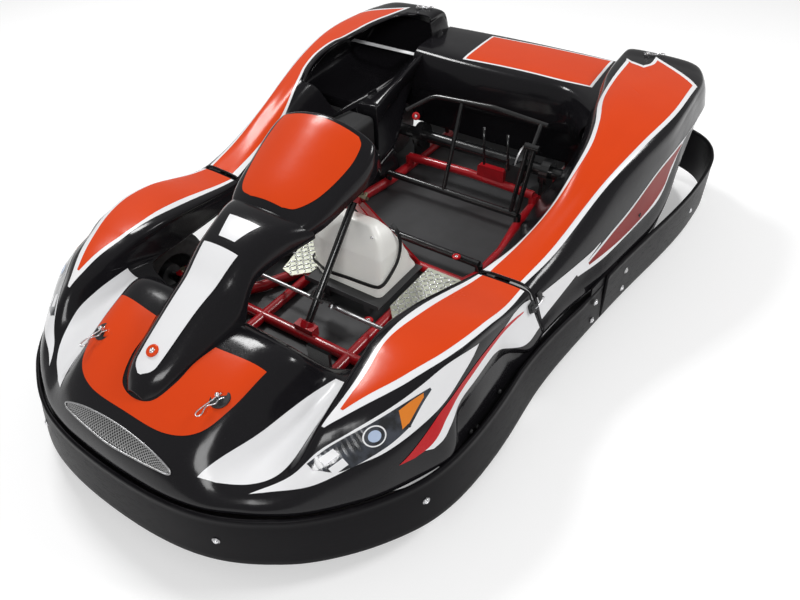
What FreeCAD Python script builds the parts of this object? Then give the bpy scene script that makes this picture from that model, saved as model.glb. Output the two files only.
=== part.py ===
import FreeCAD, Part
import math
import os
from FreeCAD import Vector

# A rental racing kart with a moulded body and an all-round bumper belt.
# Millimetres, +Z up, front towards -Y, the driver's left hand towards +X.
# The origin is on the floor, under the middle of the kart.

# ---- overall sizes ----
wheelbase = 995.0
front_overhang = 546.0
rear_overhang = 441.0
overall_width = 1354.0

# ---- wheels ----
front_tyre_radius = 125.0
front_tyre_width = 112.0
rear_tyre_radius = 140.0
rear_tyre_width = 178.0
front_wheel_x = 440.0
rear_wheel_x = 500.0
rim_radius = 66.0
rim_wall = 4.0
spindle_radius = 8.5
running_fit = 0.05
hub_radius = 30.0
axle_radius = 20.0

# ---- steering ----
king_pin_x = 346.0
king_pin_radius = 5.0
knuckle_radius = 15.0
knuckle_height = 62.0
yoke_gap = 1.0
yoke_plate = 7.0
neck_radius = 12.0
column_radius = 10.0
column_room = 6.0
column_arm = 48.0
column_arm_place = 87.0
steering_hub_radius = 17.0
hub_length = 18.0
column_plate = 5.0
tie_rod_radius = 5.5
tie_rod_gap = 2.0
tie_rod_half_pitch = 20.0
rod_end_height = 12.0
rod_end_gap = 0.3
rod_pin_radius = 4.0
eye_height = 8.0

# ---- frame ----
rail_radius = 16.0
rail_height = 58.0
inner_rail_x = 142.0
inner_rail_radius = 14.0
cross_radius = 14.0
rear_cross_y = 466.0
rear_cross_lift = 38.0
rear_cross_bow = 8.0
side_bar_radius = 12.5
side_bar_height = 92.0
stub_radius = 11.0
post_radius = 8.0
carrier_plate = 12.0
tray_thickness = 3.0

# ---- body and bumper ----
shell_wall = 4.0
belt_wall = 7.0
belt_bottom = 59.0
front_belt_height = 119.0
front_belt_lean = 21.0
rear_belt_height = 143.0
joint_plate_length = 130.0
joint_plate_thickness = 5.0
joint_plate_edge = 6.0
belt_joint = 75.0
belt_steps = 60
seam_gap = 3.0

# ---- tank, seat bars and engine ----
tank_width = 256.0
tank_height = 208.0
tank_bottom = 79.0
tank_clearance = 14.0
tank_corner = 16.0
tray_edge = 12.0
tray_reach = 130.0
strap_place = 46.0
strap_width = 14.0
strap_thickness = 3.0
seat_bar_radius = 11.0
seat_bar_height = 92.0
rear_seat_bar_y = 345.0
seat_bolt_spacing = 380.0
seat_bolt_radius = 4.2
stay_radius = 7.0
engine_length = 300.0
engine_width = 250.0
engine_height = 165.0
engine_bottom = 112.0
engine_clearance = 6.0
engine_inner_x = 292.0
pod_post_x = 590.0
post_clearance = 25.0
mount_plate = 8.0
disc_radius = 70.0
disc_thickness = 5.0
sprocket_radius = 88.0
sprocket_thickness = 5.0
sprocket_x = -330.0
disc_x = 150.0

# The outline tables below are drawn on a kart of these sizes, and are stretched to the sizes above.
drawn_wheelbase = 995.0
drawn_front_overhang = 546.0
drawn_rear_overhang = 441.0
drawn_width = 1354.0
drawn_front_axle = -445.0
drawn_rear_axle = drawn_front_axle + drawn_wheelbase

overall_length = front_overhang + wheelbase + rear_overhang
front_axle = front_overhang - overall_length / 2
rear_axle = front_axle + wheelbase


# ---- placing ----

def along(y):
    """A drawn length becomes a real one: each overhang and the wheelbase stretch on their own."""
    if y < drawn_front_axle:
        return front_axle + (y - drawn_front_axle) * front_overhang / drawn_front_overhang
    if y > drawn_rear_axle:
        return rear_axle + (y - drawn_rear_axle) * rear_overhang / drawn_rear_overhang
    return front_axle + (y - drawn_front_axle) * wheelbase / drawn_wheelbase


def across(x):
    return x * overall_width / drawn_width


def at(x, y, z):
    return Vector(across(x), along(y), z)


# ---- shape helpers ----

def cylinder(start, end, radius):
    run = end.sub(start)
    return Part.makeCylinder(radius, run.Length, start, run)


def pipe_x(x0, x1, y, z, outer, inner=0.0):
    body = cylinder(Vector(x0, y, z), Vector(x1, y, z), outer)
    if inner > 0:
        body = body.cut(cylinder(Vector(x0 - 1, y, z), Vector(x1 + 1, y, z), inner))
    return body


def box(low, high):
    return Part.makeBox(high.x - low.x, high.y - low.y, high.z - low.z, low)


def mirrored(shape):
    return shape.mirror(Vector(0, 0, 0), Vector(1, 0, 0))


def tube(points, radius, bend):
    """A round tube along straight runs joined by arcs of one bending radius."""
    edges = []
    start = points[0]
    for here, corner, after in zip(points, points[1:], points[2:]):
        into = corner.sub(here).normalize()
        out = after.sub(corner).normalize()
        turn = into.getAngle(out)
        reach = min(bend * math.tan(turn / 2), 0.45 * min(corner.sub(here).Length, after.sub(corner).Length))
        first = corner.sub(into * reach)
        last = corner.add(out * reach)
        middle_way = first.add(last) * 0.5
        bow = reach * math.tan(turn / 4) * math.cos(turn / 2)
        middle = middle_way.add(corner.sub(middle_way).normalize() * bow)
        edges.append(Part.LineSegment(start, first).toShape())
        edges.append(Part.Arc(first, middle, last).toShape())
        start = last
    edges.append(Part.LineSegment(start, points[-1]).toShape())
    path = Part.Wire(edges)
    ring = Part.Wire([Part.Circle(points[0], points[1].sub(points[0]), radius).toShape()])
    return path.makePipeShell([ring], True, False)


def joined(*shapes):
    whole = shapes[0]
    for shape in shapes[1:]:
        whole = whole.fuse(shape)
    return whole.removeSplitter()


def largest(shape):
    return max(shape.Solids, key=lambda solid: solid.Volume)


def knots(count, degree):
    """Even knots for a curve that starts on its first pole and ends on its last."""
    values = [float(i) for i in range(count - degree + 1)]
    return [degree + 1] + [1] * (len(values) - 2) + [degree + 1], values


def patch(poles, degree):
    """A surface drawn by rows of poles: straight from row to row if there are only two."""
    row_degree = min(degree, len(poles) - 1)
    row_mults, row_knots = knots(len(poles), row_degree)
    column_mults, column_knots = knots(len(poles[0]), degree)
    surface = Part.BSplineSurface()
    surface.buildFromPolesMultsKnots(poles, row_mults, column_mults, row_knots, column_knots,
                                     False, False, row_degree, degree)
    return surface.toShape()


def skin(net, wall):
    """A thin moulded panel: a smooth surface drawn by the net, and a second one a wall inside it."""
    rows = len(net)
    columns = len(net[0])

    def inside(i, j):
        down = net[min(i + 1, rows - 1)][j].sub(net[max(i - 1, 0)][j])
        over = net[i][min(j + 1, columns - 1)].sub(net[i][max(j - 1, 0)])
        return net[i][j].sub(down.cross(over).normalize() * wall)

    under = [[inside(i, j) for j in range(columns)] for i in range(rows)]
    faces = [patch(net, 2), patch(under, 2), patch([net[0], under[0]], 2), patch([net[-1], under[-1]], 2)]
    for j in (0, -1):
        faces.append(patch([[rib[j] for rib in net], [rib[j] for rib in under]], 2))
    sewn = Part.makeCompound(faces)
    sewn.sewShape(0.01)
    solid = Part.makeSolid(sewn.Shells[0])
    if solid.Volume < 0:
        solid.reverse()
    return solid


def revolved(profile, x, y, z):
    """A ring about the X direction, from a closed profile of (across, radius) pairs."""
    points = [Vector(x + a, y, z + r) for a, r in profile]
    face = Part.Face(Part.makePolygon(points + points[:1]))
    return face.revolve(Vector(x, y, z), Vector(1, 0, 0), 360)


# ---- moulded body ----

def front_ribs():
    """Ribs of the front body from its middle to its left seam, each from the lower lip inwards."""
    return [
        [(0, -950, 166), (0, -957, 186), (0, -940, 232), (0, -888, 268), (0, -790, 312), (0, -700, 337),
         (0, -640, 342), (0, -605, 300), (0, -565, 228)],
        [(98, -946, 166), (101, -953, 186), (104, -931, 232), (103, -884, 270), (100, -790, 313),
         (98, -700, 338), (97, -640, 343), (97, -605, 300), (95, -565, 228)],
        [(163, -938, 166), (168, -945, 186), (174, -919, 226), (180, -876, 262), (194, -790, 308),
         (210, -705, 333), (220, -645, 340), (220, -608, 300), (215, -570, 228)],
        [(226, -922, 166), (230, -929, 186), (237, -905, 207), (240, -870, 218), (250, -790, 232),
         (264, -700, 250), (274, -640, 262), (276, -600, 262), (272, -560, 240)],
        [(277, -898, 166), (282, -905, 186), (287, -884, 204), (290, -850, 212), (296, -780, 228),
         (305, -700, 246), (310, -640, 258), (312, -600, 264), (306, -556, 256)],
        [(330, -869, 166), (335, -876, 186), (336, -850, 208), (334, -815, 222), (334, -760, 244),
         (334, -700, 262), (334, -650, 272), (330, -600, 276), (322, -545, 266)],
        [(385, -830, 166), (391, -836, 186), (388, -806, 232), (372, -780, 262), (362, -745, 296),
         (352, -690, 305), (342, -640, 300), (334, -590, 285), (326, -530, 268)],
        [(441, -770, 166), (448, -775, 186), (442, -741, 248), (420, -722, 280), (390, -702, 313),
         (358, -675, 315), (342, -640, 304), (335, -590, 288), (328, -520, 268)],
        [(488, -706, 166), (496, -710, 186), (491, -676, 258), (455, -660, 305), (412, -648, 331),
         (352, -630, 326), (341, -605, 312), (335, -560, 290), (329, -505, 268)],
        [(536, -604, 166), (544, -606, 186), (512, -593, 262), (472, -588, 318), (437, -585, 341),
         (346, -570, 338), (338, -545, 320), (333, -520, 292), (330, -485, 268)],
        [(543, -562, 170), (550, -562, 186), (517, -560, 262), (490, -560, 318), (450, -560, 345),
         (343, -545, 344), (336, -525, 322), (332, -500, 294), (331, -470, 268)],
        [(524, -520, 215), (524, -520, 240), (515, -520, 286), (496, -520, 326), (464, -520, 348),
         (343, -507, 347), (335, -490, 324), (332, -475, 295), (331, -450, 268)],
        [(526, -450, 245), (524, -450, 266), (516, -450, 298), (505, -450, 326), (487, -451, 348),
         (344, -459, 344), (336, -450, 324), (333, -440, 296), (332, -425, 268)],
        [(525, -370, 240), (523, -370, 262), (518, -370, 290), (510, -368, 316), (497, -366, 337),
         (352, -377, 330), (344, -374, 314), (340, -370, 292), (339, -366, 268)],
        [(524, -300, 212), (522, -300, 242), (517, -300, 276), (511, -300, 298), (500, -300, 317),
         (366, -293, 311), (358, -290, 298), (354, -288, 282), (352, -286, 262)],
        [(545, -240, 170), (553, -240, 186), (523, -240, 248), (512, -240, 282), (499, -240, 300),
         (376, -235, 297), (368, -233, 288), (364, -231, 272), (362, -230, 254)],
        [(546, -178, 170), (554, -178, 186), (526, -178, 243), (514, -178, 274), (500, -178, 290),
         (388, -178, 287), (380, -178, 279), (376, -178, 264), (374, -178, 248)],
    ]


def front_body():
    left = [[at(*p) for p in rib] for rib in front_ribs()]
    right = [[Vector(-p.x, p.y, p.z) for p in rib] for rib in left[:0:-1]]
    return skin(right + left, shell_wall)


def pod_ribs():
    """Ribs of a side pod from the seam to its rear end, each from the lower edge inwards."""
    columns = [
        (-172, [(546, 170), (554, 187), (536, 216), (519, 272), (497, 294), (445, 294), (392, 291),
                (378, 276), (362, 205), (336, 118)]),
        (-60, [(560, 172), (568, 190), (549, 230), (528, 292), (495, 313), (462, 314), (424, 306),
               (402, 281), (378, 205), (326, 112)]),
        (80, [(590, 178), (597, 197), (570, 245), (545, 322), (512, 356), (482, 354), (442, 344), (417, 284),
              (388, 208), (304, 106)]),
        (200, [(606, 178), (613, 197), (586, 250), (560, 352), (538, 390), (497, 402), (440, 400),
               (410, 292), (376, 208), (288, 106)]),
        (330, [(623, 178), (630, 197), (603, 256), (584, 372), (568, 420), (510, 432), (424, 438),
               (390, 296), (352, 208), (278, 108)]),
        (455, [(624, 226), (630, 240), (613, 300), (601, 388), (589, 438), (520, 450), (388, 455),
               (360, 300), (330, 220), (280, 140)]),
        (560, [(618, 330), (611, 362), (606, 390), (600, 420), (590, 448), (520, 457), (368, 460),
               (344, 340), (328, 262), (322, 205)]),
        (650, [(611, 368), (606, 392), (602, 408), (597, 428), (586, 449), (520, 460), (354, 462),
               (338, 420), (330, 340), (324, 300)]),
        (770, [(604, 372), (599, 394), (596, 408), (588, 430), (572, 449), (512, 459), (344, 461),
               (336, 440), (328, 412), (322, 376)]),
        (850, [(566, 368), (560, 392), (556, 408), (548, 430), (532, 446), (480, 454), (342, 456),
               (336, 438), (328, 410), (322, 376)]),
        (880, [(552, 340), (546, 348), (542, 352), (536, 360), (520, 365), (470, 368), (342, 368),
               (336, 366), (328, 362), (322, 358)]),
    ]
    return [[(x, y, z) for x, z in rib] for y, rib in columns]


def side_pod():
    return skin([[at(*p) for p in rib] for rib in pod_ribs()], shell_wall)


def right_pod():
    return largest(mirrored(side_pod()).cut(engine_bay()).cut(engine_room()))


def engine_bay():
    """The opening in the top and the inner side of the right-hand pod, as a block with a sloping foot."""
    corners = [(-452, 213), (-490, 337), (-488, 425), (-466, 470), (-459, 577), (-442, 689), (-385, 750),
               (-300, 742), (-300, 480)]
    points = [at(x, y, 300 + 0.13 * (along(y) - along(340))) for x, y in corners]
    face = Part.Face(Part.makePolygon(points + points[:1]))
    return face.extrude(Vector(0, 0, 400))


def engine_room():
    """The space for the engine and beside it, which the pod's inner wall stops short of."""
    low, high = engine_box()
    gap = engine_clearance
    return box(low.sub(Vector(gap, gap, 3 * gap)), Vector(-across(250), high.y + gap, high.z + gap))


def rear_deck():
    """The deck behind the seat and the bulkhead below its front edge."""
    edge = 315.0
    crown = 18.0
    stations = []
    for x in (edge, 200, 0, -200, -edge):
        bow = crown * (1 - (x / edge) ** 2)
        stations.append([at(x, 905 + bow, 262), at(x, 912 + bow, 330), at(x, 900 + bow, 378),
                         at(x, 870, 387), at(x, 770, 389), at(x, 672 - bow, 386), at(x, 646 - bow, 362),
                         at(x, 632 - bow, 310), at(x, 630 - bow, 250), at(x, 646 - bow / 2, 190),
                         at(x, 656 - bow / 2, 130)])
    return skin(stations, shell_wall)


def spine():
    """The raised spine from the nose up to the dash panel."""
    rows = [
        (-862, [(34, 258), (28, 276), (20, 288), (10, 294), (0, 296)]),
        (-838, [(54, 270), (46, 300), (32, 316), (16, 323), (0, 325)]),
        (-795, [(68, 292), (58, 325), (42, 340), (22, 348), (0, 351)]),
        (-700, [(88, 318), (76, 356), (56, 383), (36, 397), (0, 400)]),
        (-645, [(96, 332), (86, 370), (67, 401), (42, 421), (0, 426)]),
        (-610, [(88, 386), (82, 408), (68, 428), (45, 445), (0, 450)]),
        (-575, [(82, 412), (80, 428), (70, 450), (50, 465), (0, 470)]),
        (-520, [(90, 424), (90, 438), (80, 465), (58, 482), (0, 487)]),
        (-470, [(104, 430), (106, 442), (98, 468), (72, 484), (0, 490)]),
        (-425, [(118, 438), (118, 450), (108, 464), (82, 474), (0, 480)]),
    ]
    net = []
    for y, half in rows:
        left = [at(x, y, z) for x, z in half]
        net.append(left + [Vector(-p.x, p.y, p.z) for p in left[-2::-1]])
    return skin(net, shell_wall)


def dash_panel():
    """The crowned panel over the steering column, with a deep rolled rim round it."""
    rows = [
        (-462, 70, 470, 30), (-445, 92, 490, 34), (-400, 112, 517, 40), (-330, 124, 551, 46),
        (-270, 134, 581, 54), (-232, 132, 599, 60), (-212, 122, 600, 66),
    ]
    crown = 0.002
    net = []
    for y, half, top, drop in rows:
        edge = top - crown * half * half
        left = [at(half + 14, y, edge - drop), at(half + 12, y, edge - drop * 0.4), at(half, y, edge),
                at(half * 0.55, y, top - crown * (half * 0.55) ** 2), at(0, y, top)]
        net.append(left + [Vector(-p.x, p.y, p.z) for p in left[-2::-1]])
    back = []
    for p in net[-1]:
        back.append(Vector(p.x * 0.96, p.y + 16, p.z - 62 if abs(p.x) < across(130) else p.z - 20))
    net.append(back)
    return skin(net, shell_wall)


# ---- bumper belt ----

def belt_outline():
    """Poles of the left half of the belt's outside, from the front to the rear."""
    return [(57, -991), (150, -983), (228, -967), (294, -941), (351, -908), (411, -866), (478, -795),
            (526, -726), (560, -662), (580, -590), (590, -500), (592, -400), (587, -300), (585, -230),
            (590, -130), (603, 0), (620, 160), (640, 300), (660, 430), (674, 560), (677, 650), (677, 740),
            (668, 810), (640, 880), (590, 932), (500, 970), (380, 985), (200, 991)]


def belt_curve(middle_first):
    """The belt's outside, from the middle of the rear round by the front, or the other way round."""
    half = [at(x, y, 0) for x, y in belt_outline()]
    other = [Vector(-p.x, p.y, 0) for p in half]
    poles = half + other[::-1] if middle_first else other[::-1] + half
    start = (poles[0] + poles[-1]) * 0.5
    curve = Part.BSplineCurve()
    curve.buildFromPoles([start] + poles + [start], False, 2)
    return curve


def belt_lean(y):
    """How far the front belt leans in at its top: less towards its joint with the rear belt."""
    return front_belt_lean * min(1.0, max(0.3, (along(belt_joint) - y) / 375.0))


def belt_wire(curve, low, high, inset, wall, z, lean):
    """The section of a strip along part of the outline at one height, inset from the outside."""
    outside = []
    inside = []
    for i in range(belt_steps + 1):
        t = low + (high - low) * i / belt_steps
        here = curve.value(t)
        forward = curve.tangent(t)[0]
        inward = Vector(-forward.y, forward.x, 0)
        here = here.add(inward * (inset + (belt_lean(here.y) if lean else 0.0)))
        outside.append(Vector(here.x, here.y, z))
        inside.append(Vector(here.x + inward.x * wall, here.y + inward.y * wall, z))
    edges = []
    for side in (outside, inside):
        line = Part.BSplineCurve()
        line.interpolate(side)
        edges.append(line.toShape())
    caps = [Part.LineSegment(outside[i], inside[i]).toShape() for i in (0, -1)]
    return Part.Wire([edges[0], caps[1], edges[1], caps[0]])


def belt_strip(curve, low, high, inset, wall, bottom, height, lean=False):
    """A strip along part of the outline, upright or leaning in."""
    levels = [belt_wire(curve, low, high, inset, wall, bottom, False),
              belt_wire(curve, low, high, inset, wall, bottom + height, lean)]
    return Part.makeLoft(levels, True, True)


def parameter_at(curve, y, low, high):
    """Where the curve crosses a drawn length, on a stretch that runs to the rear."""
    for _ in range(40):
        middle = (low + high) / 2
        if curve.value(middle).y < along(y):
            low = middle
        else:
            high = middle
    return (low + high) / 2


def bumper_front():
    curve = belt_curve(False)
    last = curve.LastParameter
    high = parameter_at(curve, belt_joint - seam_gap / 2, last / 2, last)
    return belt_strip(curve, last - high, high, 0, belt_wall, belt_bottom, front_belt_height, True)


def bumper_rear():
    curve = belt_curve(True)
    last = curve.LastParameter
    low = parameter_at(curve, belt_joint + seam_gap / 2, 0, last / 2)
    return belt_strip(curve, low, last - low, 0, belt_wall, belt_bottom, rear_belt_height)


def joint_plates():
    curve = belt_curve(False)
    last = curve.LastParameter
    low = parameter_at(curve, belt_joint - joint_plate_length / 2, last / 2, last)
    high = parameter_at(curve, belt_joint + joint_plate_length / 2, last / 2, last)
    left = belt_strip(curve, low, high, belt_wall, joint_plate_thickness, belt_bottom + joint_plate_edge,
                      rear_belt_height - joint_plate_edge)
    left = left.cut(bumper_front()).cut(bumper_rear())
    return Part.makeCompound([left, mirrored(left)])


# ---- frame ----

def rail_points():
    return [(316, -428), (269, -349), (225, -290), (184, -202), (192, -110), (258, 60), (262, 200),
            (240, 350), (236, 470), (236, 742)]


def main_rail():
    return tube([at(x, y, rail_height) for x, y in rail_points()], rail_radius, 70.0)


def main_rails():
    left = main_rail()
    return Part.makeCompound([left, mirrored(left)])


def inner_rail():
    return cylinder(at(inner_rail_x, -730, rail_height), at(inner_rail_x, 2, rail_height), inner_rail_radius)


def front_cross():
    left = cylinder(at(0, -385, rail_height), at(296, -385, rail_height), cross_radius)
    return joined(left, mirrored(left)).cut(main_rail()).cut(mirrored(main_rail()))


def inner_rails():
    left = inner_rail().cut(front_cross()).cut(middle_cross())
    return Part.makeCompound([left, mirrored(left)])


def middle_cross():
    whole = cylinder(at(-240, 16, rail_height), at(240, 16, rail_height), cross_radius)
    whole = whole.cut(main_rail()).cut(mirrored(main_rail()))
    middle = [s for s in whole.Solids if s.isInside(at(0, 16, rail_height), 0.1, True)]
    return middle[0]


def rear_cross():
    """The tube in front of the axle, bowed up a little, with its legs and the plate for a seat stay."""
    low = rail_height + rear_cross_lift
    high = low + rear_cross_bow
    y = rear_cross_y
    whole = tube([at(-232, y, low), at(0, y, high), at(232, y, low)], cross_radius, 90.0)
    legs = [cylinder(at(x, y, low), at(x, y, rail_height), cross_radius) for x in (-232, 232)]
    top = high + 48
    hanger = box(at(34, y - 10, low + 4), at(128, y + 10, top))
    corners = [e for e in hanger.Edges if e.BoundBox.ZMin > top - 1 and e.BoundBox.XLength < 1]
    hanger = hanger.makeFillet(9.0, corners)
    return joined(whole, hanger, *legs).cut(main_rail()).cut(mirrored(main_rail()))


def side_bar():
    """The left bar, from rail to rail outside the wheels' paths. It carries the pod and the belt."""
    points = [at(205, -140, rail_height), at(548, -152, side_bar_height), at(574, 60, side_bar_height),
              at(574, 318, side_bar_height), at(262, 318, rail_height)]
    return largest(tube(points, side_bar_radius, 60.0).cut(main_rail()))


def side_bars():
    left = side_bar()
    return Part.makeCompound([left, mirrored(left)])


def belt_side(y):
    """How far out the belt's inner face is at a drawn length."""
    curve = belt_curve(False)
    last = curve.LastParameter
    return curve.value(parameter_at(curve, y, last / 2, last)).x - belt_wall


def belt_arms():
    """Arms that carry the belt: before the inner rails, behind the main rails, outside the side bars."""
    rise = side_bar_height - rail_height
    x = across(inner_rail_x)
    y = along(-730)
    front = tube([Vector(x, y, rail_height), Vector(x, y - 60, side_bar_height),
                  Vector(x, 8 - overall_length / 2, side_bar_height)], stub_radius, 60.0)
    front = largest(front.cut(inner_rail()).cut(bumper_front()))
    x = across(236)
    y = along(742)
    rear = tube([Vector(x, y, rail_height), Vector(x, y + 2 * rise, side_bar_height),
                 Vector(x, overall_length / 2 - 4, side_bar_height)], stub_radius, 60.0)
    rear = largest(rear.cut(main_rail()).cut(bumper_rear()))
    y = along(190)
    belt_spot = Vector(belt_side(190) + belt_wall, y, side_bar_height)
    outer = cylinder(Vector(across(560), y, side_bar_height), belt_spot, stub_radius)
    outer = [solid for solid in outer.cut(side_bar()).cut(bumper_rear()).Solids
             if solid.CenterOfMass.x > across(574)]
    left = [front, rear, max(outer, key=lambda solid: solid.Volume)]
    return Part.makeCompound(left + [mirrored(piece) for piece in left])


def body_post(foot, top, shell):
    """A post from a tube up to the underside of a body panel."""
    post = cylinder(foot, top, post_radius).cut(shell)
    return min(post.Solids, key=lambda solid: solid.BoundBox.ZMin)


def body_brackets():
    """The posts that hold the nose, the pods and the rear deck."""
    nose = body_post(at(inner_rail_x, -690, rail_height), at(inner_rail_x, -690, 380),
                     front_body()).cut(inner_rail())
    pod = body_post(at(pod_post_x, 290, side_bar_height), at(pod_post_x + 11, 290, 300),
                    side_pod()).cut(side_bar())
    deck = body_post(at(236, 720, rail_height), at(236, 720, 420), rear_deck()).cut(main_rail())
    wing = body_post(at(374, -146, rail_height), at(380, -146, 320), side_pod()).cut(side_bar())
    left = [max(post.Solids, key=lambda solid: solid.BoundBox.ZMax) for post in (nose, pod, deck, wing)]
    return Part.makeCompound(left + [mirrored(post) for post in left])


def yoke():
    """The C-shaped bracket at the end of a rail, which holds the king pin."""
    x = across(king_pin_x)
    middle = front_tyre_radius
    half = knuckle_height / 2 + yoke_gap
    plates = []
    for low in (middle - half - yoke_plate, middle + half):
        plate = box(Vector(x - 34, front_axle - 17, low), Vector(x + 14, front_axle + 17, low + yoke_plate))
        plates.append(plate)
    back = box(Vector(x - 34, front_axle - 17, middle - half - yoke_plate),
               Vector(x - 27, front_axle + 17, middle + half + yoke_plate))
    bolt = Part.makeCylinder(king_pin_radius + running_fit, 200, Vector(x, front_axle, middle - 100))
    bracket = joined(back, plates[0], plates[1]).cut(bolt)
    rail_end = at(*rail_points()[0], rail_height)
    neck = cylinder(rail_end, Vector(x - 24, front_axle, middle - half - 2), neck_radius)
    above = box(Vector(x - 60, front_axle - 60, middle - half - yoke_plate),
                Vector(x + 60, front_axle + 60, middle))
    neck = largest(neck.cut(main_rail()).cut(above))
    return joined(bracket, neck)


def yokes():
    left = yoke()
    return Part.makeCompound([left, mirrored(left)])


def king_pin_bolt():
    x = across(king_pin_x)
    half = knuckle_height / 2 + yoke_gap + yoke_plate
    low = front_tyre_radius - half
    pin = Part.makeCylinder(king_pin_radius, 2 * half + 8, Vector(x, front_axle, low - 8))
    head = Part.makeCylinder(9.0, 7.0, Vector(x, front_axle, low - 8))
    nut = Part.makeCylinder(9.0, 8.0, Vector(x, front_axle, low + 2 * half))
    return joined(pin, head, nut)


def king_pins():
    left = king_pin_bolt()
    return Part.makeCompound([left, mirrored(left)])


# ---- steering ----

def column_axis():
    """Foot and direction of the steering column."""
    foot = at(0, -380, 70)
    top = at(0, -122, 355)
    return foot, top.sub(foot).normalize()


def column_spot(distance, side=0.0, lift=0.0):
    """A point beside the column: so far up it, so far to its left and so far in front of it."""
    foot, way = column_axis()
    forward = Vector(0, -way.z, way.y)
    return foot.add(way * distance).add(Vector(side, 0, 0)).add(forward * lift)


def steering_column():
    """The column with its stop collar, the plate for the tie rods and the hub for a steering wheel."""
    way = column_axis()[1]
    shaft = cylinder(column_spot(9), column_spot(404), column_radius)
    collar = cylinder(column_spot(column_arm_place + column_plate), column_spot(column_arm_place + 22), 15.0)
    reach = column_arm + 12
    ear = [column_spot(column_arm_place, x, y) for x, y in
           ((-16, 14), (16, 14), (34, 14 - reach * 0.7), (30, -reach), (-30, -reach),
            (-34, 14 - reach * 0.7))]
    plate = Part.Face(Part.makePolygon(ear + ear[:1])).extrude(way * column_plate)
    hub = cylinder(column_spot(392), column_spot(392 + hub_length), steering_hub_radius)
    return joined(shaft, collar, plate, hub)


def column_bracket():
    """The red bracket on the front cross tube with the column's lower bearing."""
    foot, way = column_axis()
    block = cylinder(column_spot(8), column_spot(26), 19.0)
    hole = cylinder(column_spot(0), column_spot(60), column_radius + running_fit)
    base = box(at(-30, -388, rail_height), at(30, -362, rail_height + 30))
    return largest(joined(block, base).cut(hole).cut(front_cross()))


def support_line(side):
    """The middle of one support bar, from the cross tube to the upper bearing."""
    foot_x = across(84) if side > 0 else across(6)
    low = Vector(foot_x, along(16), rail_height + cross_radius - 3)
    return low, column_spot(360, 14 * side, -6)


def column_support():
    """Two flat bars from the middle cross tube up to the column's upper bearing."""
    ring = cylinder(column_spot(352), column_spot(368), 20.0)
    bars = []
    for side in (-1, 1):
        low, high = support_line(side)
        run = high.sub(low)
        bar = Part.makeBox(26, 5, run.Length, Vector(-13, -2.5, 0))
        bar.Placement = FreeCAD.Placement(low, FreeCAD.Rotation(Vector(0, 0, 1), run))
        bars.append(bar)
    hole = cylinder(column_spot(300), column_spot(420), column_radius + running_fit)
    return joined(ring, bars[0], bars[1]).cut(hole).cut(middle_cross())


def column_clamp():
    """The zinc clamp over the upper bearing, with its two bolts."""
    block = cylinder(column_spot(368), column_spot(384), 18.0)
    ears = [column_spot(368, x, y) for x, y in ((-34, -8), (34, -8), (34, 8), (-34, 8))]
    foot, way = column_axis()
    strap = Part.Face(Part.makePolygon(ears + ears[:1])).extrude(way * 8.0)
    bolts = [cylinder(column_spot(368, 27 * side), column_spot(386, 27 * side), 4.0) for side in (-1, 1)]
    hole = cylinder(column_spot(300), column_spot(420), column_radius + running_fit)
    return joined(block, strap, bolts[0], bolts[1]).cut(hole)


def rod_inner():
    """The middle of the left tie rod's inner end, just below the column's plate."""
    return column_spot(column_arm_place - tie_rod_gap - 5, tie_rod_half_pitch, -column_arm)


def rod_outer():
    """The middle of its outer end, level with the inner one."""
    inner = rod_inner()
    return Vector(across(king_pin_x) - 14, inner.y, inner.z)


def knuckle():
    """The left stub axle: its sleeve on the king pin, the spindle and the steering arm."""
    x = across(king_pin_x)
    middle = front_tyre_radius
    sleeve_foot = Vector(x, front_axle, middle - knuckle_height / 2)
    sleeve = Part.makeCylinder(knuckle_radius, knuckle_height, sleeve_foot)
    wheel_x = across(front_wheel_x)
    spindle = cylinder(Vector(x, front_axle, middle), Vector(wheel_x + 44, front_axle, middle),
                       spindle_radius)
    shoulder = cylinder(Vector(x, front_axle, middle), Vector(wheel_x - 38, front_axle, middle),
                        spindle_radius + 5)
    nut = cylinder(Vector(wheel_x + 36, front_axle, middle), Vector(wheel_x + 44, front_axle, middle), 13.0)
    eye_top = rod_outer().sub(Vector(0, 0, rod_end_height / 2 + rod_end_gap))
    arm = tube([Vector(x - 4, front_axle + 8, middle - 16), Vector(x - 8, front_axle + 50, eye_top.z - 3),
                eye_top.sub(Vector(0, 4, 4))], 7.0, 60.0)
    eye = Part.makeCylinder(10.0, eye_height, eye_top.sub(Vector(0, 0, eye_height)))
    whole = joined(sleeve, spindle, shoulder, arm, eye, nut)
    above = Part.makeCylinder(40.0, 30.0, eye_top)
    below = Part.makeCylinder(14.0, 30.0, eye_top.sub(Vector(0, 0, eye_height + 30)))
    rod_bore = Part.makeCylinder(rod_pin_radius + running_fit, 60, eye_top.sub(Vector(0, 0, 40)))
    bore = Part.makeCylinder(king_pin_radius + running_fit, 200, Vector(x, front_axle, middle - 100))
    return largest(whole.cut(bore).cut(above).cut(below).cut(rod_bore))


def tie_rod():
    """The left tie rod, from its end over the knuckle's arm to its end below the column's plate."""
    outer = rod_outer()
    inner = rod_inner()
    way = column_axis()[1]
    outer_end = Part.makeCylinder(9.0, rod_end_height, outer.sub(Vector(0, 0, rod_end_height / 2)))
    foot = rod_end_height / 2 + rod_end_gap + eye_height + rod_end_gap
    pin = Part.makeCylinder(rod_pin_radius, foot, outer.sub(Vector(0, 0, foot)))
    nut = Part.makeCylinder(7.0, 6.0, outer.sub(Vector(0, 0, foot + 6)))
    inner_end = cylinder(inner.sub(way * 5), inner.add(way * 5), 9.0)
    rod = cylinder(outer, inner, tie_rod_radius)
    return joined(rod, outer_end, pin, nut, inner_end)


# ---- wheels ----

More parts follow.
